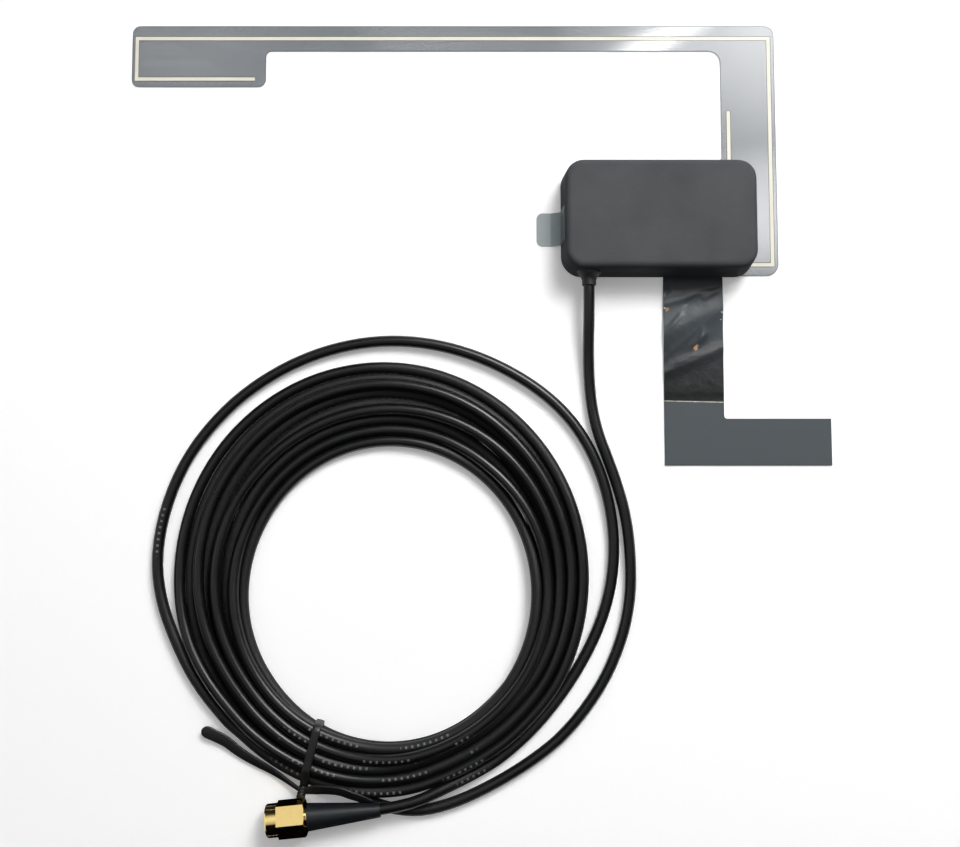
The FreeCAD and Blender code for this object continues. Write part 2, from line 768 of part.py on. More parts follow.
def make_nut():
    """Coupling nut: round collar, hexagon with a rear chamfer, stepped bore with a ring groove."""
    hexagonal = hexagon(nut_length - nut_collar_length)
    hexagonal.translate(Vec(nut_collar_length, 0, 0))
    slope = nut_rear_chamfer / 2
    chamfered = turned(steps([(0, 0), (0, nut_corner - nut_rear_chamfer), (slope, nut_corner),
                              (nut_length - slope, nut_corner), (nut_length, nut_corner - nut_rear_chamfer),
                              (nut_length, 0)]), FreeCAD.Placement())
    collar = turned(steps([(0, 0), (0, nut_collar_radius - nut_collar_chamfer),
                           (nut_collar_chamfer, nut_collar_radius), (nut_collar_length, nut_collar_radius),
                           (nut_collar_length, 0)]), FreeCAD.Placement())
    body = hexagonal.common(chamfered).fuse(collar)
    throat = neck_radius + running_clearance
    groove = ring_outer + running_clearance
    groove_start = ring_position - ring_groove_clearance
    groove_end = ring_position + ring_thickness + ring_groove_clearance
    hole = turned(steps([(0, 0), (0, nut_bore_radius), (nut_bore_depth, nut_bore_radius),
                         (nut_bore_depth, throat), (groove_start, throat), (groove_start, groove),
                         (groove_end, groove), (groove_end, throat), (nut_length, throat),
                         (nut_length, 0)]), FreeCAD.Placement())
    nut = body.cut(hole)
    nut.Placement = plug_placement()
    return nut


def make_gasket():
    """Sealing gasket in the bottom of the nut's bore."""
    inner = sleeve_radius + running_clearance
    start = nut_bore_depth - gasket_length
    return turned(steps([(start, inner), (start, nut_bore_radius), (nut_bore_depth, nut_bore_radius),
                         (nut_bore_depth, inner)]), plug_placement())


def make_connector_body():
    """Turned plug body: contact sleeve, neck with the ring groove, flange and crimp stem."""
    groove_start = ring_position - ring_groove_clearance
    groove_end = ring_position + ring_thickness + ring_groove_clearance
    profile = [(sleeve_recess, dielectric_radius), (sleeve_recess, sleeve_radius), (neck_start, sleeve_radius),
               (neck_start, neck_radius), (groove_start, neck_radius), (groove_start, ring_inner),
               (groove_end, ring_inner), (groove_end, neck_radius), (flange_start, neck_radius),
               (flange_start, flange_radius), (flange_end, flange_radius), (flange_end, stem_radius),
               (stem_end, stem_radius), (stem_end, stem_bore), (dielectric_end, stem_bore),
               (dielectric_end, dielectric_radius)]
    return turned(steps(profile), plug_placement())


def make_dielectric():
    """Insulator between the centre pin and the body."""
    start = sleeve_recess + dielectric_recess
    return turned(steps([(start, pin_radius), (start, dielectric_radius), (dielectric_end, dielectric_radius),
                         (dielectric_end, pin_radius)]), plug_placement())


def make_pin():
    """Centre pin with a rounded-off tip."""
    return turned(steps([(pin_front, 0), (pin_front, pin_radius / 2), (pin_front + pin_tip, pin_radius),
                         (pin_end, pin_radius), (pin_end, 0)]), plug_placement())


def make_ring():
    """Open snap ring that keeps the nut on the body."""
    end = ring_position + ring_thickness
    ring = turned(steps([(ring_position, ring_inner), (ring_position, ring_outer), (end, ring_outer),
                         (end, ring_inner)]), FreeCAD.Placement())
    ring = ring.cut(box((ring_position, end), (-ring_gap / 2, ring_gap / 2), (0, ring_outer)))
    ring.Placement = plug_placement()
    return ring


def make_ferrule():
    """Crimp ferrule round the stem."""
    return turned(steps([(ferrule_start, ferrule_inner), (ferrule_start, ferrule_outer),
                         (ferrule_end, ferrule_outer), (ferrule_end, ferrule_inner)]), plug_placement())


def make_shrink():
    """Shrunk sleeve from the plug's flange down to the cable."""
    over_flange = flange_radius + shrink_clearance
    over_ferrule = ferrule_outer + shrink_clearance
    over_cable = cable_radius + shrink_clearance
    flange_step = flange_end + shrink_clearance
    cable_step = stem_end + shrink_clearance
    profile = [(shrink_start, over_flange), (shrink_start, shrink_front_radius),
               (shrink_end, shrink_rear_radius), (shrink_end, over_cable),
               (cable_step, over_cable), (cable_step, over_ferrule),
               (flange_step, over_ferrule), (flange_step, over_flange)]
    return turned(steps(profile), plug_placement())


def cylinder_along(y_start, y_end, diameter):
    """Bar along the cable's axis inside the case."""
    return Part.makeCylinder(diameter / 2, y_end - y_start, Vec(gland_x, y_start, cable_axis), Vec(0, 1, 0))


def make_parts():
    """Every piece by name."""
    parts = {}
    parts["long_trace"] = make_long_trace()
    parts["short_trace"] = make_short_trace()
    parts["antenna_film"] = make_film(parts["long_trace"], parts["short_trace"])
    parts["amplifier_cover"] = make_cover()
    parts["amplifier_base"] = make_base()
    parts["adhesive_pad"] = make_adhesive()
    parts["clear_tab"] = make_tab()
    parts["circuit_board"] = make_board()
    parts["amplifier_chip"] = on_board(chip_size, [chip_point])
    parts["band_filter"] = on_board(filter_size, [filter_point])
    parts["chip_capacitors"] = on_board(capacitor_size, capacitor_points)
    parts["chip_inductors"] = on_board(inductor_size, inductor_points)
    for name, place in spring_places().items():
        parts[name] = make_spring(*place)
    parts["cable_grommet"] = make_grommet(parts["amplifier_cover"])
    parts["cable_clip"] = make_clip()
    parts["cable_braid"] = cylinder_along(jacket_end, braid_end, braid_diameter)
    parts["cable_core"] = cylinder_along(braid_end, core_end, core_diameter)
    parts["core_wire"] = make_wire()
    parts["ground_foil"] = make_foil()
    parts["foot_liner"] = make_foot_liner()
    parts["cable_lead"] = make_lead()
    parts["cable_coil"] = make_coil()
    parts["cable_tail"] = make_tail()
    parts["twist_tie"] = make_tie()
    parts["coupling_nut"] = make_nut()
    parts["sealing_gasket"] = make_gasket()
    parts["connector_body"] = make_connector_body()
    parts["dielectric"] = make_dielectric()
    parts["centre_pin"] = make_pin()
    parts["snap_ring"] = make_ring()
    parts["crimp_ferrule"] = make_ferrule()
    parts["heat_shrink"] = make_shrink()
    return parts


os.makedirs("parts", exist_ok=True)
for part_name, shape in make_parts().items():
    print(part_name, "solids", len(shape.Solids), "valid", shape.isValid(), "volume", round(shape.Volume, 2))
    shape.exportStep("parts/" + part_name + ".step")
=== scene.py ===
import json
import logging
import math
from dataclasses import dataclass, field
from enum import Enum
from typing import Any, Sequence

import bmesh
import bpy
import numpy as np
from mathutils import Matrix, Vector

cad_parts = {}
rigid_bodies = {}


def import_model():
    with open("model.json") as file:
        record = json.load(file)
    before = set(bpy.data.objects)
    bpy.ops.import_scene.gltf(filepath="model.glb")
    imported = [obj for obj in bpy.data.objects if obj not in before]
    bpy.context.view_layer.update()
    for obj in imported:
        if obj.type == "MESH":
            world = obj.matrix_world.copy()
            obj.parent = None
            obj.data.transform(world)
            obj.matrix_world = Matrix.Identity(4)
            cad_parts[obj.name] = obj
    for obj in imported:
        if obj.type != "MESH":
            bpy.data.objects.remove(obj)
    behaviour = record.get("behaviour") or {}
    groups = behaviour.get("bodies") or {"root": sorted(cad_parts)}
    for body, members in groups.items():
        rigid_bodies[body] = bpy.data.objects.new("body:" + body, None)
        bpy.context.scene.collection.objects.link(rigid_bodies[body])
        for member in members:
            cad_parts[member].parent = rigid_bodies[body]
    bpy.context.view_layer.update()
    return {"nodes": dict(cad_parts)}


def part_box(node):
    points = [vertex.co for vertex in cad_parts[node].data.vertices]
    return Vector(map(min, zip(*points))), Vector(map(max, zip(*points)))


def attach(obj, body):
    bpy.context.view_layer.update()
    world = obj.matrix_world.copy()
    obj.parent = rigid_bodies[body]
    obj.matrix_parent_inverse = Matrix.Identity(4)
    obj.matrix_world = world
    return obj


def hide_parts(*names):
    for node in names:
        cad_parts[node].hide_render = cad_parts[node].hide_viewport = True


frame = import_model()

LOG = logging.getLogger("film_antenna")
MM = 0.001
# Sockets of a mix of colours: its share, the two colours and its result
MIX_SHARE, MIX_FIRST, MIX_SECOND, MIX_RESULT = 0, 6, 7, 2
# Range in which nearly all of a noise pattern lies
NOISE_RANGE = {"From Min": 0.3, "From Max": 0.7}
# Points of a flat oval, of a rounded corner, and between two points of a smooth line
OVAL_POINTS = 12
CORNER_POINTS = 7
SPAN_POINTS = 24

Point = tuple[float, float, float]
Inputs = dict[str | int, Any]
Stops = tuple[tuple[float, float], ...]


class Body(Enum):
    """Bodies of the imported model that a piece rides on."""

    ANTENNA = "antenna"
    NUT = "coupling_nut"


class Slot(Enum):
    """Material slots of the record; the added pieces don't use them."""

    FILM = "clear_film"
    CONDUCTOR = "printed_conductor"
    FOIL = "lacquered_foil"
    JACKET = "cable_jacket"
    TIE = "tie_plastic"
    GOLD = "gold_plate"


def linear(colour: str) -> tuple[float, float, float, float]:
    """Turns an sRGB hex colour into linear RGBA.

    Args:
        colour: Six hex digits after a hash sign.

    Returns:
        Linear red, green, blue and an alpha of one.
    """
    values = [int(colour[start:start + 2], 16) / 255 for start in (1, 3, 5)]
    red, green, blue = [v / 12.92 if v <= 0.04045 else ((v + 0.055) / 1.055) ** 2.4 for v in values]
    return red, green, blue, 1.0


def feed(tree: bpy.types.NodeTree, node: bpy.types.Node, inputs: Inputs) -> None:
    """Links or sets inputs of a node.

    Args:
        tree: Tree that holds the node.
        node: Node to feed.
        inputs: Socket name or index to a value, or to the output socket that feeds it.
    """
    for name, value in inputs.items():
        if isinstance(value, bpy.types.NodeSocket):
            tree.links.new(value, node.inputs[name])
        else:
            node.inputs[name].default_value = value


def add_node(tree: bpy.types.NodeTree, kind: str, settings: dict[str, Any] | None = None,
             inputs: Inputs | None = None) -> bpy.types.Node:
    """Adds a node with its settings, and feeds its inputs.

    Args:
        tree: Shader or geometry tree that gets the node.
        kind: Name of the node's type.
        settings: Properties of the node itself.
        inputs: Socket name or index to a value, or to the output socket that feeds it.

    Returns:
        The new node.
    """
    node = tree.nodes.new(kind)
    for name, value in (settings or {}).items():
        setattr(node, name, value)
    feed(tree, node, inputs or {})
    return node


def link_object(name: str, data: bpy.types.ID) -> bpy.types.Object:
    """Makes an object at the origin and links it to the scene.

    Args:
        name: Name of the object.
        data: Its mesh, curve or lens.

    Returns:
        The linked object.
    """
    made = bpy.data.objects.new(name, data)
    bpy.context.scene.collection.objects.link(made)
    return made


def mesh_object(name: str, vertices: Sequence[Any], faces: Sequence[Any]) -> bpy.types.Object:
    """Makes a smooth-shaded object at the origin from points in millimetres.

    Args:
        name: Name of the piece.
        vertices: Points in millimetres.
        faces: Corner indices of each face.

    Returns:
        The linked object.
    """
    mesh = bpy.data.meshes.new(name)
    mesh.from_pydata([tuple(float(v) * MM for v in point) for point in vertices], [], faces)
    mesh.shade_smooth()
    mesh.update()
    return link_object(name, mesh)


def flat_card(name: str, corner: Sequence[float], along: Sequence[float],
              across: Sequence[float]) -> bpy.types.Object:
    """Makes a flat card with four corners.

    Args:
        name: Name of the card.
        corner: One corner, in millimetres.
        along: The next corner one way.
        across: The next corner the other way.

    Returns:
        The card.
    """
    far = np.add(along, across) - corner
    return mesh_object(name, [corner, along, far, across], [(0, 1, 2, 3)])


def face_outwards(piece: bpy.types.Object) -> None:
    """Recalculates the normals of a closed mesh so that they point outwards.

    Args:
        piece: Object with the mesh.
    """
    shape = bmesh.new()
    shape.from_mesh(piece.data)
    bmesh.ops.recalc_face_normals(shape, faces=shape.faces)
    shape.to_mesh(piece.data)
    shape.free()


def settle(piece: bpy.types.Object, material: bpy.types.Material, body: Body,
           stands_for: Sequence[str] = ()) -> None:
    """Gives an added piece its finish and body, and hides the solids that it replaces.

    Args:
        piece: Object at the origin.
        material: Finish of the whole piece.
        body: Body that it rides on.
        stands_for: Solids that it replaces.
    """
    piece.data.materials.clear()
    piece.data.materials.append(material)
    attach(piece, body.value)
    if stands_for:
        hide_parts(*stands_for)
    LOG.info("%s rides on %s", piece.name, body.value)


def store_shares(piece: bpy.types.Object, name: str, shares: np.ndarray) -> None:
    """Stores a number on each point of a piece, for its finish to read.

    Args:
        piece: Object with the points.
        name: Name of the attribute.
        shares: One number for each point.
    """
    layer = piece.data.attributes.new(name, "FLOAT", "POINT")
    layer.data.foreach_set("value", shares.astype(np.float32))


def evaluated_mesh(holder: bpy.types.Object) -> bpy.types.Mesh:
    """Takes the finished mesh of a curve, or of an object with a modifier, and drops that object.

    Args:
        holder: Object that makes the mesh.

    Returns:
        A plain mesh.
    """
    graph = bpy.context.evaluated_depsgraph_get()
    made = bpy.data.meshes.new_from_object(holder.evaluated_get(graph))
    source = holder.data
    bpy.data.objects.remove(holder)
    bpy.data.batch_remove([source])
    return made


def smoothed(values: np.ndarray, reach: int) -> np.ndarray:
    """Evens out a row of numbers, with less weight for neighbours that are farther away.

    Args:
        values: The numbers.
        reach: Number of neighbours on each side.

    Returns:
        As many numbers.
    """
    weights = np.hanning(2 * reach + 1)
    return np.convolve(np.pad(values, reach, mode="edge"), weights / weights.sum(), mode="valid")


def sweep(name: str, path: np.ndarray, side: np.ndarray, normal: np.ndarray, sections: np.ndarray,
          closed: bool = False) -> bpy.types.Object:
    """Skins cross sections that stand along a path, with a UV map of length and girth.

    Args:
        name: Name of the piece.
        path: Points of the path, in millimetres.
        side: First axis of the section plane at each point.
        normal: Second axis of the section plane at each point.
        sections: For each point, the section's points in those two axes.
        closed: Whether the path returns to its start.

    Returns:
        The swept object; an open one has capped ends.
    """
    count, girth = sections.shape[:2]
    rings = path[:, None] + side[:, None] * sections[..., :1] + normal[:, None] * sections[..., 1:]
    faces = []
    for ring in range(count if closed else count - 1):
        here, ahead = ring * girth, (ring + 1) % count * girth
        for corner in range(girth):
            turn = (corner + 1) % girth
            faces.append((here + corner, here + turn, ahead + turn, ahead + corner))
    walls = len(faces)
    if not closed:
        faces.append(tuple(range(girth))[::-1])
        faces.append(tuple(range((count - 1) * girth, count * girth)))
    piece = mesh_object(name, rings.reshape(-1, 3), faces)
    steps = np.linalg.norm(np.diff(path, axis=0, append=path[:1]), axis=1)
    along = np.concatenate(([0.0], np.cumsum(steps)))[:count + 1]
    layer = piece.data.uv_layers.new(name="length_and_girth")
    for index, face in enumerate(piece.data.polygons):
        if index >= walls:
            continue
        ring, corner = divmod(index, girth)
        places = ((ring, corner), (ring, corner + 1), (ring + 1, corner + 1), (ring + 1, corner))
        for loop, (station, turn) in zip(face.loop_indices, places):
            layer.data[loop].uv = (along[station] * MM, turn / girth)
    face_outwards(piece)
    return piece


def travelling_axes(path: np.ndarray) -> tuple[np.ndarray, np.ndarray]:
    """Works out section axes that follow a path without twisting about it.

    Args:
        path: Points of the path.

    Returns:
        The two axes at each point; the first stays close to level.
    """
    heading = np.gradient(path, axis=0)
    heading /= np.linalg.norm(heading, axis=1)[:, None]
    side = np.cross(heading, (0.0, 0.0, 1.0))
    side /= np.linalg.norm(side, axis=1)[:, None]
    return side, np.cross(side, heading)


def flat_oval(width: float, thickness: float) -> np.ndarray:
    """Section of a flat band with rounded edges.

    Args:
        width: Size along the first axis.
        thickness: Size along the second axis.

    Returns:
        Points of the section.
    """
    turn = np.linspace(0, 2 * math.pi, OVAL_POINTS, endpoint=False)
    circle = np.stack((np.cos(turn), np.sin(turn)), axis=1)
    return np.sign(circle) * np.sqrt(np.abs(circle)) * (width / 2, thickness / 2)


def smooth_line(points: Sequence[Sequence[float]], step: float) -> np.ndarray:
    """Runs a smooth curve through points, evenly spaced.

    Args:
        points: Points that the curve passes.
        step: Distance between the returned points.

    Returns:
        Points along a Catmull-Rom curve.
    """
    knots = np.asarray(points, float)
    padded = np.vstack((2 * knots[0] - knots[1], knots, 2 * knots[-1] - knots[-2]))
    share = np.linspace(0, 1, SPAN_POINTS, endpoint=False)[:, None]
    spans = []
    for before, start, end, after in zip(padded, padded[1:], padded[2:], padded[3:]):
        spans.append(0.5 * (2 * start + (end - before) * share
                            + (2 * before - 5 * start + 4 * end - after) * share ** 2
                            + (3 * start - before - 3 * end + after) * share ** 3))
    dense = np.vstack(spans + [knots[-1:]])
    lengths = np.concatenate(([0.0], np.cumsum(np.linalg.norm(np.diff(dense, axis=0), axis=1))))
    even = np.linspace(0, lengths[-1], max(3, int(lengths[-1] / step)))
    return np.stack([np.interp(even, lengths, dense[:, axis]) for axis in range(dense.shape[1])], axis=1)


@dataclass(frozen=True)
class Finish:
    """Start of every finish: one principled shader with a plain colour and roughness."""

    name: str
    colour: str
    roughness: float
    metallic: float = 0.0
    ior: float = 1.5
    specular: float = 0.5

    def material(self) -> bpy.types.Material:
        """Builds the material.

        Returns:
            A new material with this finish's nodes.
        """
        made = bpy.data.materials.new(self.name)
        made.use_nodes = True
        tree = made.node_tree
        shader = tree.nodes["Principled BSDF"]
        feed(tree, shader, {"Base Color": linear(self.colour), "Roughness": self.roughness,
                            "Metallic": self.metallic, "IOR": self.ior, "Specular IOR Level": self.specular})
        self.dress(tree, shader, add_node(tree, "ShaderNodeTexCoord"))
        return made

    def dress(self, tree: bpy.types.NodeTree, shader: bpy.types.Node, place: bpy.types.Node) -> None:
        """Adds what this finish shows beyond its plain colour; the plain one adds nothing."""


@dataclass(frozen=True)
class GrainedFinish(Finish):
    """Moulded, cast or fired surface: an even grain in the tool, and slow shifts of tone."""

    grain_mm: float = 0.3
    depth_mm: float = 0.01
    tone: str = "#000000"
    tone_share: float = 0.3
    patch_mm: float = 6.0
    sheen_spread: float = 0.08

    def dress(self, tree: bpy.types.NodeTree, shader: bpy.types.Node, place: bpy.types.Node) -> None:
        """Adds a bump of the grain's size, and a slow mix towards a second tone.

        Args:
            tree: Tree of the material.
            shader: Its principled shader.
            place: Its texture coordinates.
        """
        here = place.outputs["Object"]
        grain = add_node(tree, "ShaderNodeTexNoise", {"noise_dimensions": "3D"},
                         {"Vector": here, "Scale": 1 / (self.grain_mm * MM), "Detail": 3.0, "Roughness": 0.6})
        bump = add_node(tree, "ShaderNodeBump", {},
                        {"Strength": 1.0, "Distance": self.depth_mm * MM, "Height": grain.outputs["Fac"]})
        patches = add_node(tree, "ShaderNodeTexNoise", {"noise_dimensions": "3D"},
                           {"Vector": here, "Scale": 1 / (self.patch_mm * MM), "Detail": 4.0})
        share = add_node(tree, "ShaderNodeMapRange", {},
                         {"Value": patches.outputs["Fac"], **NOISE_RANGE,
                          "To Min": 0.0, "To Max": self.tone_share})
        mixed = add_node(tree, "ShaderNodeMix", {"data_type": "RGBA"},
                         {MIX_SHARE: share.outputs["Result"], MIX_FIRST: linear(self.colour),
                          MIX_SECOND: linear(self.tone)})
        rough = add_node(tree, "ShaderNodeMapRange", {},
                         {"Value": patches.outputs["Fac"], **NOISE_RANGE,
                          "To Min": self.roughness * (1 - self.sheen_spread),
                          "To Max": min(1.0, self.roughness * (1 + self.sheen_spread))})
        feed(tree, shader, {"Normal": bump.outputs["Normal"], "Base Color": mixed.outputs[MIX_RESULT],
                            "Roughness": rough.outputs["Result"]})


@dataclass(frozen=True)
class FilmFinish(Finish):
    """Polyester film: see-through with a grey tint, glossy, and never quite flat."""

    cover: float = 0.5
    cover_spread: float = 0.06
    wave_mm: float = 30.0
    wave_depth_mm: float = 0.12

    def dress(self, tree: bpy.types.NodeTree, shader: bpy.types.Node, place: bpy.types.Node) -> None:
        """Adds the tint's share and the slow waves that bend a glare on the sheet.

        Args:
            tree: Tree of the material.
            shader: Its principled shader.
            place: Its texture coordinates.
        """
        waves = add_node(tree, "ShaderNodeTexNoise", {"noise_dimensions": "3D"},
                         {"Vector": place.outputs["Object"], "Scale": 1 / (self.wave_mm * MM), "Detail": 1.0})
        bump = add_node(tree, "ShaderNodeBump", {},
                        {"Strength": 1.0, "Distance": self.wave_depth_mm * MM,
                         "Height": waves.outputs["Fac"]})
        share = add_node(tree, "ShaderNodeMapRange", {},
                         {"Value": waves.outputs["Fac"], **NOISE_RANGE,
                          "To Min": self.cover * (1 - self.cover_spread),
                          "To Max": self.cover * (1 + self.cover_spread)})
        feed(tree, shader, {"Normal": bump.outputs["Normal"], "Alpha": share.outputs["Result"]})


@dataclass(frozen=True)
class PlatedFinish(Finish):
    """Plated metal that was turned or drawn: fine rings across the plug's axis, and a little wear."""

    # The real rings are about 0.05 mm apart; they are drawn coarser so that they show
    ring_mm: float = 0.22
    ring_depth_mm: float = 0.003
    turn_deg: float = 5.5
    wear_mm: float = 1.5
    wear_range: tuple[float, float] = (0.8, 1.3)

    def dress(self, tree: bpy.types.NodeTree, shader: bpy.types.Node, place: bpy.types.Node) -> None:
        """Adds the rings as a bump, and patches that are a little duller.

        Args:
            tree: Tree of the material.
            shader: Its principled shader.
            place: Its texture coordinates.
        """
        turned = add_node(tree, "ShaderNodeMapping", {"vector_type": "TEXTURE"},
                          {"Vector": place.outputs["Object"],
                           "Rotation": (0.0, 0.0, math.radians(self.turn_deg))})
        parts = add_node(tree, "ShaderNodeSeparateXYZ", {}, {"Vector": turned.outputs["Vector"]})
        rings = add_node(tree, "ShaderNodeTexNoise", {"noise_dimensions": "1D"},
                         {"W": parts.outputs["X"], "Scale": 1 / (self.ring_mm * MM), "Detail": 2.0})
        bump = add_node(tree, "ShaderNodeBump", {},
                        {"Strength": 1.0, "Distance": self.ring_depth_mm * MM,
                         "Height": rings.outputs["Fac"]})
        wear = add_node(tree, "ShaderNodeTexNoise", {"noise_dimensions": "3D"},
                        {"Vector": place.outputs["Object"], "Scale": 1 / (self.wear_mm * MM), "Detail": 3.0})
        least, most = [self.roughness * share for share in self.wear_range]
        rough = add_node(tree, "ShaderNodeMapRange", {},
                         {"Value": wear.outputs["Fac"], **NOISE_RANGE, "To Min": least, "To Max": most})
        feed(tree, shader, {"Normal": bump.outputs["Normal"], "Roughness": rough.outputs["Result"]})


@dataclass(frozen=True)
class FoilFinish(Finish):
    """Black lacquer on copper foil: shiny where creased, worn to bare copper in spots, duller on the foot.
    Painted sheen: a grey stretch in the strip's middle and the foot's lighter grey. Painted highlight: the
    pale line along the fold, whose tone also marks real scuffs.
    """

    # Painted sheen: the foot's lighter grey is the same black lacquer, lit where it lies flat
    foot_sheen_colour: str = "#4b5256"
    # Painted sheen: grey that the middle of the strip is mixed towards
    painted_sheen_colour: str = "#464c51"
    worn_colour: str = "#c79a72"
    # Pale tone: a painted highlight along the fold at the foot; the same tone marks real scuffs
    glint_and_scuff_colour: str = "#d9d2c2"
    wrinkle_mm: float = 2.8
    wrinkle_depth_mm: float = 0.14
    foot_wrinkles: float = 0.06
    foot_roughness: float = 0.55
    flake_mm: float = 0.5
    flake_swing: float = 0.9
    flake_edge: tuple[float, float] = (0.35, 0.75)

    def dress(self, tree: bpy.types.NodeTree, shader: bpy.types.Node, place: bpy.types.Node) -> None:
        """Mixes the tones by the sheet's own painted shares, and adds fine wrinkles to the strip.

        Args:
            tree: Tree of the material.
            shader: Its principled shader.
            place: Its texture coordinates.
        """
        here = place.outputs["Object"]
        shares = {name: add_node(tree, "ShaderNodeAttribute", {"attribute_name": name}).outputs["Fac"]
                  for name in ("painted_sheen", "foot", "worn", "line")}
        flakes = add_node(tree, "ShaderNodeTexNoise", {"noise_dimensions": "3D"},
                          {"Vector": here, "Scale": 1 / (self.flake_mm * MM), "Detail": 3.0})
        swing = add_node(tree, "ShaderNodeMath", {"operation": "MULTIPLY_ADD"},
                         {0: flakes.outputs["Fac"], 1: self.flake_swing, 2: -self.flake_swing / 2})
        for name in ("worn", "line"):
            ragged = add_node(tree, "ShaderNodeMath", {"operation": "ADD"},
                              {0: shares[name], 1: swing.outputs["Value"]})
            flaked = add_node(tree, "ShaderNodeMapRange", {"interpolation_type": "SMOOTHSTEP"},
                              {"Value": ragged.outputs["Value"], "From Min": self.flake_edge[0],
                               "From Max": self.flake_edge[1]})
            shares[name] = flaked.outputs["Result"]
        colour: Any = linear(self.colour)
        for name, tone in (("painted_sheen", self.painted_sheen_colour), ("foot", self.foot_sheen_colour), ("worn", self.worn_colour),
                           ("line", self.glint_and_scuff_colour)):
            mixed = add_node(tree, "ShaderNodeMix", {"data_type": "RGBA"},
                             {MIX_SHARE: shares[name], MIX_FIRST: colour, MIX_SECOND: linear(tone)})
            colour = mixed.outputs[MIX_RESULT]
        wrinkles = add_node(tree, "ShaderNodeTexNoise", {"noise_dimensions": "3D"},
                            {"Vector": here, "Scale": 1 / (self.wrinkle_mm * MM), "Detail": 4.0})
        calm = add_node(tree, "ShaderNodeMapRange", {},
                        {"Value": shares["foot"], "To Min": 1.0, "To Max": self.foot_wrinkles})
        bump = add_node(tree, "ShaderNodeBump", {},
                        {"Strength": calm.outputs["Result"], "Distance": self.wrinkle_depth_mm * MM,
                         "Height": wrinkles.outputs["Fac"]})
        rough = add_node(tree, "ShaderNodeMapRange", {},
                         {"Value": shares["foot"], "To Min": self.roughness, "To Max": self.foot_roughness})
        feed(tree, shader, {"Base Color": colour, "Normal": bump.outputs["Normal"],
                            "Roughness": rough.outputs["Result"]})


class CadDresser:
    """Puts finishes on the solids that stay as they are."""

    @staticmethod
    def dress(finish: Finish, *nodes: str) -> bpy.types.Material:
        """Assigns one finish to several nodes.

        Args:
            finish: Finish to build.
            nodes: Names of the nodes.

        Returns:
            The material.
        """
        made = finish.material()
        for name in nodes:
            solid = frame["nodes"][name]
            if not solid.material_slots:
                solid.data.materials.append(made)
            for place in solid.material_slots:
                place.material = made
            LOG.info("%s has %s", name, finish.name)
        return made


@dataclass(frozen=True)
class SoftBox:
    """Glowing panel that faces the object and fades from its middle.

    Sizes are in millimetres. A radiance of 1 is white. Fade says how far from the middle, each way,
    a third of it is left.
    """

    name: str
    middle: Point
    size: tuple[float, float]
    radiance: float
    fade: tuple[float, float]
    turn_deg: float = 0.0

    def build(self, aim: Point) -> None:
        """Hangs the box.

        Args:
            aim: Point that it faces, in millimetres.
        """
        middle = np.array(self.middle)
        facing = np.array(aim) - middle
        wide = np.cross(facing, (0.0, 1.0, 0.0))
        deep = np.cross(wide, facing)
        wide /= np.linalg.norm(wide)
        deep /= np.linalg.norm(deep)
        cosine, sine = math.cos(math.radians(self.turn_deg)), math.sin(math.radians(self.turn_deg))
        wide, deep = wide * cosine + deep * sine, deep * cosine - wide * sine
        right, up = wide * self.size[0] / 2, deep * self.size[1] / 2
        box = flat_card(self.name, middle - right - up, middle + right - up, middle - right + up)
        box.data.materials.append(self.glow(wide, deep))
        box.visible_camera = False
        box.visible_shadow = False

    def glow(self, wide: np.ndarray, deep: np.ndarray) -> bpy.types.Material:
        """Light of the panel.

        Args:
            wide: Way across the panel, of length one.
            deep: Way up the panel, of length one.

        Returns:
            The material.
        """
        made = bpy.data.materials.new(self.name)
        made.use_nodes = True
        tree = made.node_tree
        tree.nodes.remove(tree.nodes["Principled BSDF"])
        place = add_node(tree, "ShaderNodeTexCoord")
        off = add_node(tree, "ShaderNodeVectorMath", {"operation": "SUBTRACT"},
                       {0: place.outputs["Object"], 1: [v * MM for v in self.middle]})
        square: Any = 0.0
        for way, reach in zip((wide, deep), self.fade):
            share = add_node(tree, "ShaderNodeVectorMath", {"operation": "DOT_PRODUCT"},
                             {0: off.outputs["Vector"], 1: way / (reach * MM)}).outputs["Value"]
            square = add_node(tree, "ShaderNodeMath", {"operation": "MULTIPLY_ADD"},
                              {0: share, 1: share, 2: square}).outputs["Value"]
        fall = add_node(tree, "ShaderNodeMath", {"operation": "POWER"}, {0: math.exp(-1), 1: square})
        level = add_node(tree, "ShaderNodeMath", {"operation": "MULTIPLY"},
                         {0: fall.outputs["Value"], 1: self.radiance})
        light = add_node(tree, "ShaderNodeEmission", {}, {"Strength": level.outputs["Value"]})
        feed(tree, tree.nodes["Material Output"], {"Surface": light.outputs["Emission"]})
        return made


@dataclass(frozen=True)
class DarkCard:
    """Black card that only reflections see, given by three corners in millimetres."""

    name: str
    corner: Point
    along: Point
    across: Point

    def build(self) -> None:
        """Sets up the card where the plug's flanks mirror it."""
        card = flat_card(self.name, self.corner, self.along, self.across)
        # Felt: black, without a shine
        card.data.materials.append(Finish("black_felt", "#050505", 0.95, specular=0.0).material())
        card.visible_camera = False
        card.visible_diffuse = False
        card.visible_shadow = False
        card.visible_transmission = False


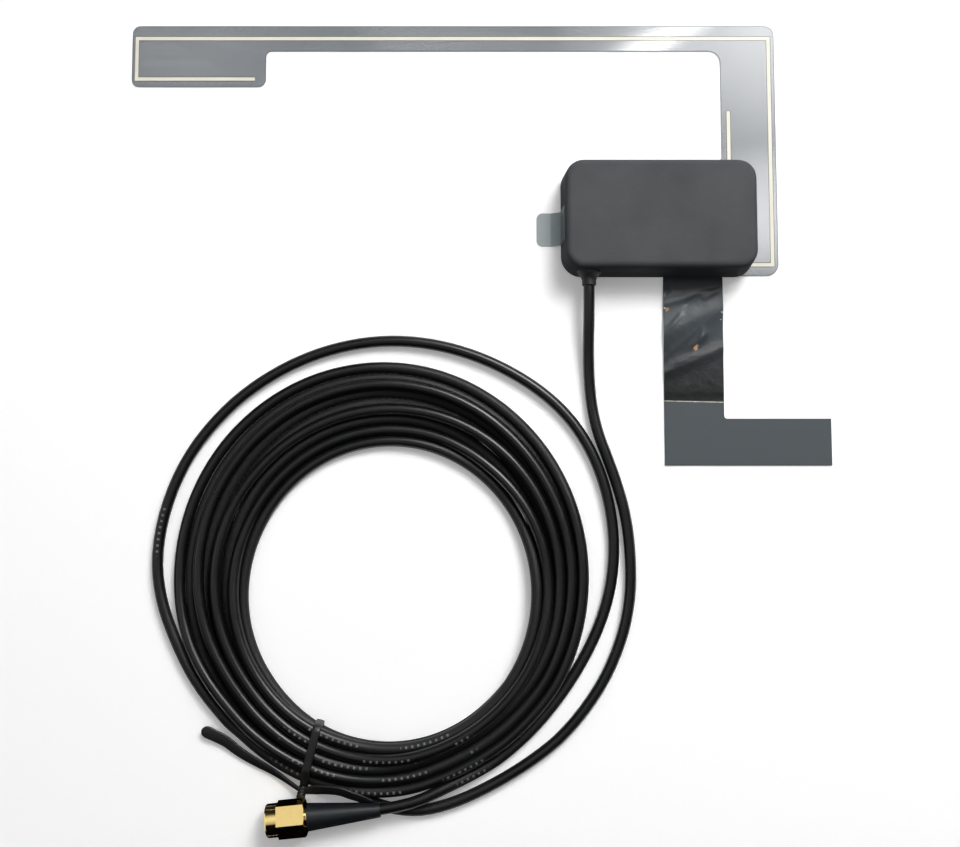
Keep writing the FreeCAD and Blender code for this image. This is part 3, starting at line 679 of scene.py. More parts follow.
@dataclass
class Studio:
    """White table, soft boxes, dark cards and the camera above the object, looking down."""

    camera_mm: Point = (-44.65, -77.25, 298.86)
    tilt_deg: float = 5.0
    lens_mm: float = 45.0
    sensor_mm: float = 36.0
    nearest_mm: float = 10.0
    floor_mm: float = 3000.0
    floor_colour: str = "#fdfdfd"
    floor_bounce: str = "#343434"
    floor_glow: float = 0.205
    zenith: float = 0.27
    horizon: float = 0.02
    low_sky: float = 0.4
    boxes: tuple[SoftBox, ...] = (
        SoftBox("key_box", (243.0, 428.0, 600.0), (700.0, 700.0), 22.0, (170.0, 170.0)),
        SoftBox("window_box", (90.0, 284.0, 560.0), (200.0, 22.0), 40.0, (60.0, 6.4), 20.0),
        SoftBox("strip_box", (-100.0, 281.0, 560.0), (230.0, 64.0), 2.1, (90.0, 26.0)),
        SoftBox("lower_box", (162.0, 152.0, 560.0), (80.0, 84.0), 11.0, (50.0, 50.0)),
        SoftBox("left_box", (-600.0, -40.0, 420.0), (320.0, 320.0), 1.8, (150.0, 150.0)),
        SoftBox("plug_box", (-234.0, 40.0, 560.0), (210.0, 760.0), 0.98, (115.0, 400.0)))
    aim_mm: Point = (-45.0, -50.0, 0.0)
    # One card stands upright in front of the plug, and one lies under it
    cards: tuple[DarkCard, ...] = (
        DarkCard("dark_flag", (-190.0, -176.0, 0.0), (20.0, -176.0, 0.0), (-190.0, -176.0, 110.0)),
        DarkCard("plug_flag", (-112.0, -172.0, 0.04), (-68.0, -172.0, 0.04), (-112.0, -136.5, 0.04)))

    def build(self) -> None:
        """Builds camera, floor, sky, soft boxes and dark cards."""
        self.build_camera()
        self.build_floor()
        self.build_sky()
        for box in self.boxes:
            box.build(self.aim_mm)
        for card in self.cards:
            card.build()

    def build_camera(self) -> None:
        """Places the camera above the object, tilted a little."""
        lens = bpy.data.cameras.new("camera")
        lens.lens = self.lens_mm
        lens.sensor_width = self.sensor_mm
        lens.clip_start = self.nearest_mm * MM
        camera = link_object("camera", lens)
        camera.location = [v * MM for v in self.camera_mm]
        camera.rotation_euler = (math.radians(self.tilt_deg), 0.0, 0.0)
        bpy.context.scene.camera = camera

    def build_floor(self) -> None:
        """Lays a plain white table top under the object."""
        half = self.floor_mm / 2
        floor = flat_card("floor", (-half, -half, 0), (half, -half, 0), (-half, half, 0))
        floor.data.materials.append(self.floor_material())

    def floor_material(self) -> bpy.types.Material:
        """Paint of the table: white where it is seen, calmer in the light that it throws back.

        Returns:
            The material.
        """
        made = Finish("painted_table", self.floor_colour, 0.9, specular=0.0).material()
        tree = made.node_tree
        path = add_node(tree, "ShaderNodeLightPath")
        seen = path.outputs["Is Camera Ray"]
        for name in ("Is Glossy Ray", "Is Transmission Ray"):
            seen = add_node(tree, "ShaderNodeMath", {"operation": "MAXIMUM"},
                            {0: seen, 1: path.outputs[name]}).outputs["Value"]
        paint = add_node(tree, "ShaderNodeMix", {"data_type": "RGBA"},
                         {MIX_SHARE: seen, MIX_FIRST: linear(self.floor_bounce),
                          MIX_SECOND: linear(self.floor_colour)})
        glow = add_node(tree, "ShaderNodeMath", {"operation": "MULTIPLY"}, {0: seen, 1: self.floor_glow})
        feed(tree, tree.nodes["Principled BSDF"],
             {"Base Color": paint.outputs[MIX_RESULT], "Emission Color": linear(self.floor_colour),
              "Emission Strength": glow.outputs["Value"]})
        return made

    def build_sky(self) -> None:
        """Gives the room a soft light that is stronger overhead than at the horizon."""
        world = bpy.data.worlds.new("room")
        world.use_nodes = True
        tree = world.node_tree
        place = add_node(tree, "ShaderNodeTexCoord")
        parts = add_node(tree, "ShaderNodeSeparateXYZ", {}, {"Vector": place.outputs["Generated"]})
        level = add_node(tree, "ShaderNodeMapRange", {"interpolation_type": "SMOOTHSTEP"},
                         {"Value": parts.outputs["Z"], "From Min": self.low_sky, "From Max": 1.0,
                          "To Min": self.horizon, "To Max": self.zenith})
        feed(tree, tree.nodes["Background"],
             {"Color": linear("#ffffff"), "Strength": level.outputs["Result"]})
        bpy.context.scene.world = world


@dataclass(frozen=True)
class JacketFinish(Finish):
    """Extruded PVC: satin, with faint draw lines along it and small printed ticks."""

    girth_mm: float = 8.8
    line_mm: float = 0.35
    line_length_mm: float = 50.0
    line_depth_mm: float = 0.006
    sheen_mm: float = 8.0
    sheen_spread: float = 0.15
    dull_roughness: float = 0.78
    tick_colour: str = "#85888a"
    group_mm: float = 23.0
    group_share: float = 0.55
    tick_mm: float = 1.5
    tick_share: float = 0.36
    tick_height_mm: float = 0.65
    # The row of ticks swings to both sides of the cable's top: length of a swing, and shares of the girth
    swing_mm: float = 170.0
    swing_share: float = 0.05
    top_share: float = 0.25

    def dress(self, tree: bpy.types.NodeTree, shader: bpy.types.Node, place: bpy.types.Node) -> None:
        """Adds the draw lines as a bump, a slow change of sheen, dust between the turns and the ticks.

        Args:
            tree: Tree of the material.
            shader: Its principled shader.
            place: Its texture coordinates.
        """
        drawn = add_node(tree, "ShaderNodeVectorMath", {"operation": "MULTIPLY"},
                         {0: place.outputs["UV"],
                          1: (1 / (self.line_length_mm * MM), self.girth_mm / self.line_mm, 0.0)})
        lines = add_node(tree, "ShaderNodeTexNoise", {"noise_dimensions": "2D"},
                         {"Vector": drawn.outputs["Vector"], "Scale": 1.0, "Detail": 2.0})
        bump = add_node(tree, "ShaderNodeBump", {},
                        {"Strength": 1.0, "Distance": self.line_depth_mm * MM,
                         "Height": lines.outputs["Fac"]})
        sheen = add_node(tree, "ShaderNodeTexNoise", {"noise_dimensions": "3D"},
                         {"Vector": place.outputs["Object"], "Scale": 1 / (self.sheen_mm * MM),
                          "Detail": 3.0})
        rough = add_node(tree, "ShaderNodeMapRange", {},
                         {"Value": sheen.outputs["Fac"], **NOISE_RANGE,
                          "To Min": self.roughness * (1 - self.sheen_spread),
                          "To Max": self.roughness * (1 + self.sheen_spread)})
        buried = add_node(tree, "ShaderNodeAttribute", {"attribute_name": "buried"})
        dusty = add_node(tree, "ShaderNodeMapRange", {},
                         {"Value": buried.outputs["Fac"], "To Min": rough.outputs["Result"],
                          "To Max": self.dull_roughness})
        colour = add_node(tree, "ShaderNodeMix", {"data_type": "RGBA"},
                          {MIX_SHARE: self.ticks(tree, place), MIX_FIRST: linear(self.colour),
                           MIX_SECOND: linear(self.tick_colour)})
        feed(tree, shader, {"Normal": bump.outputs["Normal"], "Roughness": dusty.outputs["Result"],
                            "Base Color": colour.outputs[MIX_RESULT]})

    def ticks(self, tree: bpy.types.NodeTree, place: bpy.types.Node) -> bpy.types.NodeSocket:
        """Marks groups of plain ticks on top of the stretches that show them.

        Args:
            tree: Tree of the material.
            place: Its texture coordinates.

        Returns:
            More than zero on a tick, zero elsewhere.
        """
        parts = add_node(tree, "ShaderNodeSeparateXYZ", {}, {"Vector": place.outputs["UV"]})
        printed = add_node(tree, "ShaderNodeAttribute", {"attribute_name": "printed"})
        values = {"along": parts.outputs["X"], "girth": parts.outputs["Y"], "printed": printed.outputs["Fac"]}
        # Steps of arithmetic: name of the result, operation, and numbers or earlier results
        steps = (("groups", "DIVIDE", "along", self.group_mm * MM),
                 ("of_group", "FRACT", "groups"),
                 ("in_group", "LESS_THAN", "of_group", self.group_share),
                 ("ticks", "DIVIDE", "along", self.tick_mm * MM),
                 ("of_tick", "FRACT", "ticks"),
                 ("on_tick", "LESS_THAN", "of_tick", self.tick_share),
                 ("phase", "MULTIPLY", "along", 2 * math.pi / (self.swing_mm * MM)),
                 ("swing", "SINE", "phase"),
                 ("middle", "MULTIPLY_ADD", "swing", self.swing_share, self.top_share),
                 ("beside", "SUBTRACT", "girth", "middle"),
                 ("off", "ABSOLUTE", "beside"),
                 ("on_line", "LESS_THAN", "off", self.tick_height_mm / self.girth_mm / 2),
                 ("grouped", "MULTIPLY", "in_group", "on_tick"),
                 ("marked", "MULTIPLY", "grouped", "on_line"),
                 ("shown", "MULTIPLY", "marked", "printed"))
        for name, operation, *terms in steps:
            step = add_node(tree, "ShaderNodeMath", {"operation": operation},
                            {at: values.get(term, term) for at, term in enumerate(terms)})
            values[name] = step.outputs["Value"]
        return values["shown"]


@dataclass
class CoaxCable:
    """Coaxial cable from the case's gland through nine tied turns to the plug, as one cord."""

    diameter: float = 2.8
    # Route of the lead, from the board through the gland to the bundle
    lead: tuple[Point, ...] = (
        (-17.6, -10.95, 5.5), (-17.6, -22.95, 5.5), (-17.7, -35.0, 2.3), (-17.2, -44.8, 1.45),
        (-15.7, -52.8, 1.45), (-12.9, -60.1, 1.45), (-10.4, -67.3, 1.45), (-8.4, -75.2, 1.45),
        (-7.5, -85.0, 1.45), (-7.7, -94.8, 1.45), (-10.0, -104.9, 1.45), (-15.1, -116.0, 1.45),
        (-23.7, -127.0, 1.45), (-32.2, -133.6, 1.45), (-41.1, -138.9, 1.45), (-50.3, -143.2, 1.45),
        (-59.0, -145.5, 1.45), (-67.1, -144.6, 1.45), (-74.5, -141.8, 1.45), (-79.9, -137.3, 1.45))
    # Route of the tail, from the bundle once round it and over the lead to the plug
    tail: tuple[Point, ...] = (
        (-106.3, -124.0, 1.45), (-114.1, -114.7, 1.45), (-119.3, -104.6, 1.45), (-123.1, -94.8, 1.45),
        (-124.5, -84.0, 1.45), (-122.3, -71.2, 1.45), (-116.8, -58.5, 1.45), (-108.3, -48.0, 1.45),
        (-99.5, -40.8, 1.45), (-89.8, -35.4, 1.45), (-79.9, -32.0, 1.45), (-69.8, -30.4, 1.45),
        (-59.7, -30.7, 1.45), (-49.7, -32.8, 1.45), (-39.7, -36.7, 1.45), (-30.2, -42.4, 1.45),
        (-23.1, -48.8, 1.45), (-18.1, -55.9, 1.45), (-14.6, -63.7, 1.45), (-12.3, -72.6, 1.45),
        (-11.4, -82.4, 1.45), (-12.7, -93.4, 1.45), (-16.7, -104.5, 1.45), (-23.2, -115.5, 1.45),
        (-30.9, -125.1, 1.45), (-39.2, -132.5, 1.45), (-45.5, -136.1, 2.2), (-53.6, -139.8, 3.6),
        (-62.75, -143.79, 4.7), (-74.5, -144.92, 4.7))
    exit_mm: Point = (-17.6, -17.2, 5.5)
    # Bundle: middle of the turns, outer and inner ovals, and how the turns spread between them
    middle: tuple[float, float] = (-67.8, -91.2)
    outer_centre: tuple[float, float] = (-69.05, -88.8)
    outer_half: tuple[float, float] = (51.1, 53.2)
    inner_centre: tuple[float, float] = (-66.7, -92.9)
    inner_half: tuple[float, float] = (34.6, 36.0)
    stations: int = 48
    first_angle: float = 255.0
    extra_stations: int = 4
    # Where each turn lies in the ring, from 0 inside to 1 outside: at its left, top, right and bottom
    lanes: tuple[tuple[float, float, float, float], ...] = (
        (0.84, 0.85, 0.87, 0.86), (0.57, 0.69, 0.62, 0.56), (0.37, 0.58, 0.38, 0.30),
        (0.17, 0.29, 0.14, 0.09), (0.00, 0.00, 0.00, 0.00), (0.21, 0.15, 0.26, 0.18),
        (0.46, 0.44, 0.50, 0.42), (0.71, 0.77, 0.75, 0.72), (1.00, 1.00, 1.00, 0.97))
    # Height at which each turn starts to settle: four below, then four on top of them and one beside
    start_heights: tuple[float, ...] = (1.5, 1.5, 1.5, 1.5, 3.6, 4.2, 4.2, 4.2, 2.6)
    # Slow waver of each turn about its lane: share of the ring's width, waves in a turn, their start, and
    # the share of it that the innermost and outermost turns keep
    wobble: float = 0.03
    wobble_waves: float = 2.31
    wobble_start: float = 0.9
    wobble_least: float = 0.1
    lane_blend: int = 7
    # Settling: each round pulls a turn to its lane, lets it fall, straightens it and pushes it off others.
    # Pull, fall and straightening fade, but rubbing holds a share of the pull
    settle_rounds: int = 700
    pull: float = 0.03
    hold: float = 0.7
    fall: float = 0.05
    last_fall: float = 0.2
    straighten: float = 0.3
    last_straighten: float = 0.1
    push: float = 0.55
    clearance: float = 1.01
    # Where the tie lifts the turns off the table
    tie_angle: float = 246.5
    tie_lift: float = 0.55
    tie_spread_deg: float = 14.0
    girth_sides: int = 16
    spline_steps: int = 4
    spline_order: int = 3
    # Where the printed side lies on top: first and last bearing, and distance from the bundle's middle
    print_stretches: tuple[tuple[float, float, float, float], ...] = (
        (236.0, 300.0, 38.0, 51.0), (150.0, 179.0, 53.0, 60.0))
    print_strength: float = 0.6
    bare_points: int = 48
    # Strands shade a point when they are level with it, above it and beside it, in shares of the diameter
    shade_ahead: float = 0.4
    shade_rise: float = 0.25
    shade_beside: float = 1.6
    shade_blend: int = 8
    path: np.ndarray = field(init=False)

    def build(self) -> bpy.types.Object:
        """Lays the route, skins it and gives it its finish.

        Returns:
            The cable.
        """
        points = np.array(list(self.lead) + list(self.coil_points()) + list(self.tail))
        self.path = self.nurbs_line(points)
        side, normal = travelling_axes(self.path)
        turn = np.linspace(0, 2 * math.pi, self.girth_sides, endpoint=False)
        ring = np.stack((np.cos(turn), np.sin(turn)), axis=1) * self.diameter / 2
        cable = sweep("coax_cable", self.path, side, normal, np.repeat(ring[None], len(self.path), axis=0))
        self.mark_print(cable)
        self.mark_buried(cable)
        # PVC drawn over the braid: black and satin, so that each upper turn carries a soft line of light
        finish = JacketFinish("extruded_black_pvc", "#0a0b0b", 0.32)
        settle(cable, finish.material(), Body.ANTENNA,
               ("cable_lead", "cable_coil", "cable_tail"))
        return cable

    def mark_print(self, cable: bpy.types.Object) -> None:
        """Stores on each point whether the printed side lies on top there.

        Args:
            cable: The skinned cable.
        """
        flat = self.path[:, :2] - np.array(self.middle)
        bearing = np.degrees(np.arctan2(flat[:, 1], flat[:, 0])) % 360
        far = np.hypot(flat[:, 0], flat[:, 1])
        shown = np.zeros(len(self.path))
        for start, end, inside, outside in self.print_stretches:
            within = (bearing > start) & (bearing < end) & (far > inside) & (far < outside)
            shown[within] = self.print_strength
        shown[:self.bare_points] = 0
        store_shares(cable, "printed", np.repeat(shown, self.girth_sides))

    def mark_buried(self, cable: bpy.types.Object) -> None:
        """Stores on each point whether it lies below a turn on one side (a half) or on both sides (one).

        Args:
            cable: The skinned cable.
        """
        ahead = np.gradient(self.path[:, :2], axis=0)
        ahead /= np.linalg.norm(ahead, axis=1)[:, None]
        shares = np.zeros(len(self.path))
        for at, place in enumerate(self.path):
            off = (self.path - place) / self.diameter
            level = (np.abs(off[:, :2] @ ahead[at]) < self.shade_ahead) & (off[:, 2] > self.shade_rise)
            beside = off[level, :2] @ np.array((-ahead[at, 1], ahead[at, 0]))
            close = beside[np.abs(beside) < self.shade_beside]
            shares[at] = 0.5 * float((close > 0).any()) + 0.5 * float((close < 0).any())
        store_shares(cable, "buried", np.repeat(smoothed(shares, self.shade_blend), self.girth_sides))

    def reach(self, angles: np.ndarray, centre: tuple[float, float], half: tuple[float, float]) -> np.ndarray:
        """Distance from the bundle's middle to an oval along given directions.

        Args:
            angles: Directions in radians.
            centre: Middle of the oval.
            half: Its half sizes.

        Returns:
            The distances.
        """
        scale = 1 / np.array(half)
        start = (np.array(self.middle) - np.array(centre)) * scale
        heading = np.stack((np.cos(angles), np.sin(angles)), axis=1) * scale
        a = (heading ** 2).sum(axis=1)
        b = heading @ start
        c = (start ** 2).sum() - 1
        return (-b + np.sqrt(b * b - a * c)) / a

    def coil_points(self) -> np.ndarray:
        """Lets the turns settle on each other between the two ovals.

        Returns:
            Points of the turns, from the lead's end to the tail's start.
        """
        count = len(self.lanes) * self.stations + self.extra_stations
        step = 2 * math.pi / self.stations
        angles = math.radians(self.first_angle) - step * np.arange(1, count + 1)
        low = self.reach(angles, self.inner_centre, self.inner_half) + self.diameter / 2
        high = self.reach(angles, self.outer_centre, self.outer_half) - self.diameter / 2
        high = np.minimum(high, self.tail_distance(angles) - self.diameter)
        from_tie = (np.degrees(angles) - self.tie_angle + 180) % 360 - 180
        ground = self.lead[-1][2] + self.tie_lift * np.exp(-(from_tie / self.tie_spread_deg) ** 2)
        wanted = low + self.lane_line(count) * (high - low)
        reach = wanted.copy()
        turned = np.arange(count) / self.stations
        height = np.interp(turned, np.arange(len(self.lanes)) + 0.5, self.start_heights)
        lead_end = np.array(self.lead[-1])
        tail_start = np.array(self.tail[0])
        first_reach = np.hypot(*(lead_end[:2] - self.middle))
        last_reach = np.hypot(*(tail_start[:2] - self.middle))
        for turn in range(self.settle_rounds):
            fresh = 1 - turn / self.settle_rounds
            reach += self.pull * max(fresh, self.hold) * (wanted - reach)
            height -= self.fall * (self.last_fall + fresh)
            ease = self.last_straighten + self.straighten * fresh
            for line, first, last in ((reach, first_reach, last_reach), (height, lead_end[2], tail_start[2])):
                padded = np.concatenate(([first], line, [last]))
                line += ease * (0.5 * (padded[:-2] + padded[2:]) - line)
            self.push_apart(reach, height)
            np.clip(reach, low, high, out=reach)
            np.maximum(height, ground, out=height)
        x = self.middle[0] + reach * np.cos(angles)
        y = self.middle[1] + reach * np.sin(angles)
        return np.stack((x, y, height), axis=1)

    def lane_line(self, count: int) -> np.ndarray:
        """Share of the ring's width at which each point of the turns would like to lie.

        Args:
            count: Number of points.

        Returns:
            Shares from 0 at the inside to 1 at the outside.
        """
        quarters = [self.first_angle - 180 + 90 * quarter for quarter in range(4 * len(self.lanes))]
        marks = np.array(quarters) / 360 * self.stations
        line = np.interp(np.arange(count), marks, np.array(self.lanes).ravel())
        turned = np.arange(count) / self.stations
        waver = np.sin(2 * math.pi * self.wobble_waves * turned + self.wobble_start)
        line += self.wobble * waver * np.minimum(1, 4 * line * (1 - line) + self.wobble_least)
        return smoothed(line, self.lane_blend)

    def push_apart(self, reach: np.ndarray, height: np.ndarray) -> None:
        """Moves points of different turns that lie too close at one station, in place.

        Args:
            reach: Distances from the bundle's middle.
            height: Heights above the table.
        """
        outward, upward = np.zeros_like(reach), np.zeros_like(height)
        for shift in range(self.stations, len(reach), self.stations):
            across = reach[shift:] - reach[:-shift]
            up = height[shift:] - height[:-shift]
            apart = np.maximum(np.hypot(across, up), 1e-6)
            push = 0.5 * np.maximum(0, self.diameter * self.clearance - apart) / apart
            for move, gap in ((outward, across), (upward, up)):
                move[shift:] += push * gap
                move[:-shift] -= push * gap
        reach += self.push * outward
        height += self.push * upward

    def tail_distance(self, angles: np.ndarray) -> np.ndarray:
        """Distance of the tail from the bundle's middle along given directions.

        Args:
            angles: Directions in radians.

        Returns:
            The distances, endless where the tail isn't.
        """
        flat = np.array(self.tail)[:, :2] - np.array(self.middle)
        bearings = np.unwrap(np.arctan2(flat[:, 1], flat[:, 0]))[::-1]
        distances = np.hypot(flat[:, 0], flat[:, 1])[::-1]
        turned = bearings[0] + (angles - bearings[0]) % (2 * math.pi)
        return np.interp(turned, bearings, distances, right=math.inf)

    def nurbs_line(self, points: np.ndarray) -> np.ndarray:
        """Reads points along the smooth spline that has these control points.

        Args:
            points: Control points in millimetres.

        Returns:
            Points of the spline in millimetres.
        """
        curve = bpy.data.curves.new("cable_line", "CURVE")
        curve.dimensions = "3D"
        curve.resolution_u = self.spline_steps
        spline = curve.splines.new("NURBS")
        spline.points.add(len(points) - 1)
        for place, point in zip(spline.points, points):
            place.co = (*[v * MM for v in point], 1.0)
        spline.order_u = self.spline_order
        spline.use_endpoint_u = True
        mesh = evaluated_mesh(link_object("cable_line", curve))
        line = np.array([vertex.co[:] for vertex in mesh.vertices]) / MM
        bpy.data.meshes.remove(mesh)
        return line


class RidgeTree:
    """Geometry tree that sweeps a section along a curve; its sizes are named inputs."""

    def __init__(self, name: str, sizes: Sequence[str]) -> None:
        """Starts the tree with its inputs.

        Args:
            name: Name of the tree.
            sizes: Names of its sizes.
        """
        self.tree = bpy.data.node_groups.new(name, "GeometryNodeTree")
        face = self.tree.interface
        face.new_socket("Geometry", in_out="INPUT", socket_type="NodeSocketGeometry")
        kinds = {size: "NodeSocketFloat" for size in sizes} | {"Material": "NodeSocketMaterial"}
        self.sockets = {label: face.new_socket(label, in_out="INPUT", socket_type=kind).identifier
                        for label, kind in kinds.items()}
        face.new_socket("Geometry", in_out="OUTPUT", socket_type="NodeSocketGeometry")
        self.start = add_node(self.tree, "NodeGroupInput")

    def end(self, curve: bpy.types.NodeSocket, section: bpy.types.NodeSocket) -> None:
        """Ends the tree with the sweep and its finish.

        Args:
            curve: Curve to follow.
            section: Curve of the section.
        """
        ridge = add_node(self.tree, "GeometryNodeCurveToMesh", {},
                         {"Curve": curve, "Profile Curve": section, "Fill Caps": True})
        real = add_node(self.tree, "GeometryNodeRealizeInstances", {}, {"Geometry": ridge.outputs["Mesh"]})
        dressed = add_node(self.tree, "GeometryNodeSetMaterial", {},
                           {"Geometry": real.outputs["Geometry"], "Material": self.start.outputs["Material"]})
        add_node(self.tree, "NodeGroupOutput", {}, {"Geometry": dressed.outputs["Geometry"]})

    def grow(self, name: str, holder: bpy.types.Object, values: dict[str, Any]) -> bpy.types.Mesh:
        """Runs the tree on an object, which is dropped afterwards.

        Args:
            name: Name of the mesh.
            holder: Object that carries the tree.
            values: Name of each input to its value.

        Returns:
            The ridge as a plain mesh.
        """
        maker = holder.modifiers.new("ridge", "NODES")
        maker.node_group = self.tree
        for label, value in values.items():
            maker[self.sockets[label]] = value
        made = evaluated_mesh(holder)
        made.name = name
        return made


class LineTree(RidgeTree):
    """Tree that turns drawn lines into thin flat ridges."""

    def __init__(self) -> None:
        """Builds the tree once for all lines."""
        super().__init__("raised_lines", ("Width", "Height"))
        curve = add_node(self.tree, "GeometryNodeMeshToCurve", {}, {"Mesh": self.start.outputs["Geometry"]})
        upright = add_node(self.tree, "GeometryNodeSetCurveNormal", {"mode": "Z_UP"},
                           {"Curve": curve.outputs["Curve"]})
        section = add_node(self.tree, "GeometryNodeCurvePrimitiveQuadrilateral", {"mode": "RECTANGLE"},
                           {size: self.start.outputs[size] for size in ("Width", "Height")})
        self.end(upright.outputs["Curve"], section.outputs["Curve"])

    def draw(self, name: str, lines: Sequence[tuple[Sequence[Point], bool]], width: float, height: float,
             material: bpy.types.Material) -> bpy.types.Object:
        """Draws lines as one piece.

        Args:
            name: Name of the piece.
            lines: Points of each line in millimetres, and whether it closes.
            width: Width of the ridge in millimetres.
            height: Height of the ridge in millimetres.
            material: Its finish.

        Returns:
            The piece at the origin.
        """
        vertices, edges = [], []
        for points, closes in lines:
            first = len(vertices)
            vertices += [tuple(v * MM for v in point) for point in points]
            edges += [(at, at + 1) for at in range(first, len(vertices) - 1)]
            if closes:
                edges.append((len(vertices) - 1, first))
        drawing = bpy.data.meshes.new(name + "_drawing")
        drawing.from_pydata(vertices, edges, [])
        made = self.grow(name, link_object(drawing.name, drawing),
                         {"Width": width * MM, "Height": height * MM, "Material": material})
        made.shade_flat()
        piece = link_object(name, made)
        face_outwards(piece)
        return piece


class ThreadTree(RidgeTree):
    """Tree that winds the ridge of a thread."""

    steps_per_turn: int = 48
    section_corners: int = 4

    def __init__(self) -> None:
        """Builds the tree."""
        super().__init__("thread_ridge", ("Radius", "Length", "Turns", "Ridge"))
        size = self.start.outputs
        spiral = add_node(self.tree, "GeometryNodeCurveSpiral", {},
                          {"Resolution": self.steps_per_turn, "Rotations": size["Turns"],
                           "Start Radius": size["Radius"], "End Radius": size["Radius"],
                           "Height": size["Length"]})
        section = add_node(self.tree, "GeometryNodeCurvePrimitiveCircle", {"mode": "RADIUS"},
                           {"Resolution": self.section_corners, "Radius": size["Ridge"]})
        self.end(spiral.outputs["Curve"], section.outputs["Curve"])


def rounded_outline(corners: Sequence[tuple[float, float, float]], inset: float,
                    height: float) -> list[Point]:
    """Points of a flat outline with rounded corners, moved inwards.

    Args:
        corners: X, Y and radius of each corner, in millimetres, anticlockwise.
        inset: Distance that the outline moves inwards.
        height: Height of the points.

    Returns:
        Points of the closed outline.
    """
    flat = np.array([corner[:2] for corner in corners])
    line = []
    for at, (x, y, radius) in enumerate(corners):
        before = flat[at - 1] - (x, y)
        after = flat[(at + 1) % len(corners)] - (x, y)
        before /= np.linalg.norm(before)
        after /= np.linalg.norm(after)
        convex = after[0] * before[1] - after[1] * before[0] > 0
        start = np.array((x, y)) + before * radius
        end = np.array((x, y)) + after * radius
        middle = np.array((x, y)) + (before + after) * radius
        kept = radius - inset if convex else radius + inset
        for share in np.linspace(0, math.pi / 2, CORNER_POINTS):
            ray = (start - middle) * math.cos(share) + (end - middle) * math.sin(share)
            place = middle + ray / radius * kept
            line.append((float(place[0]), float(place[1]), height))
    return line


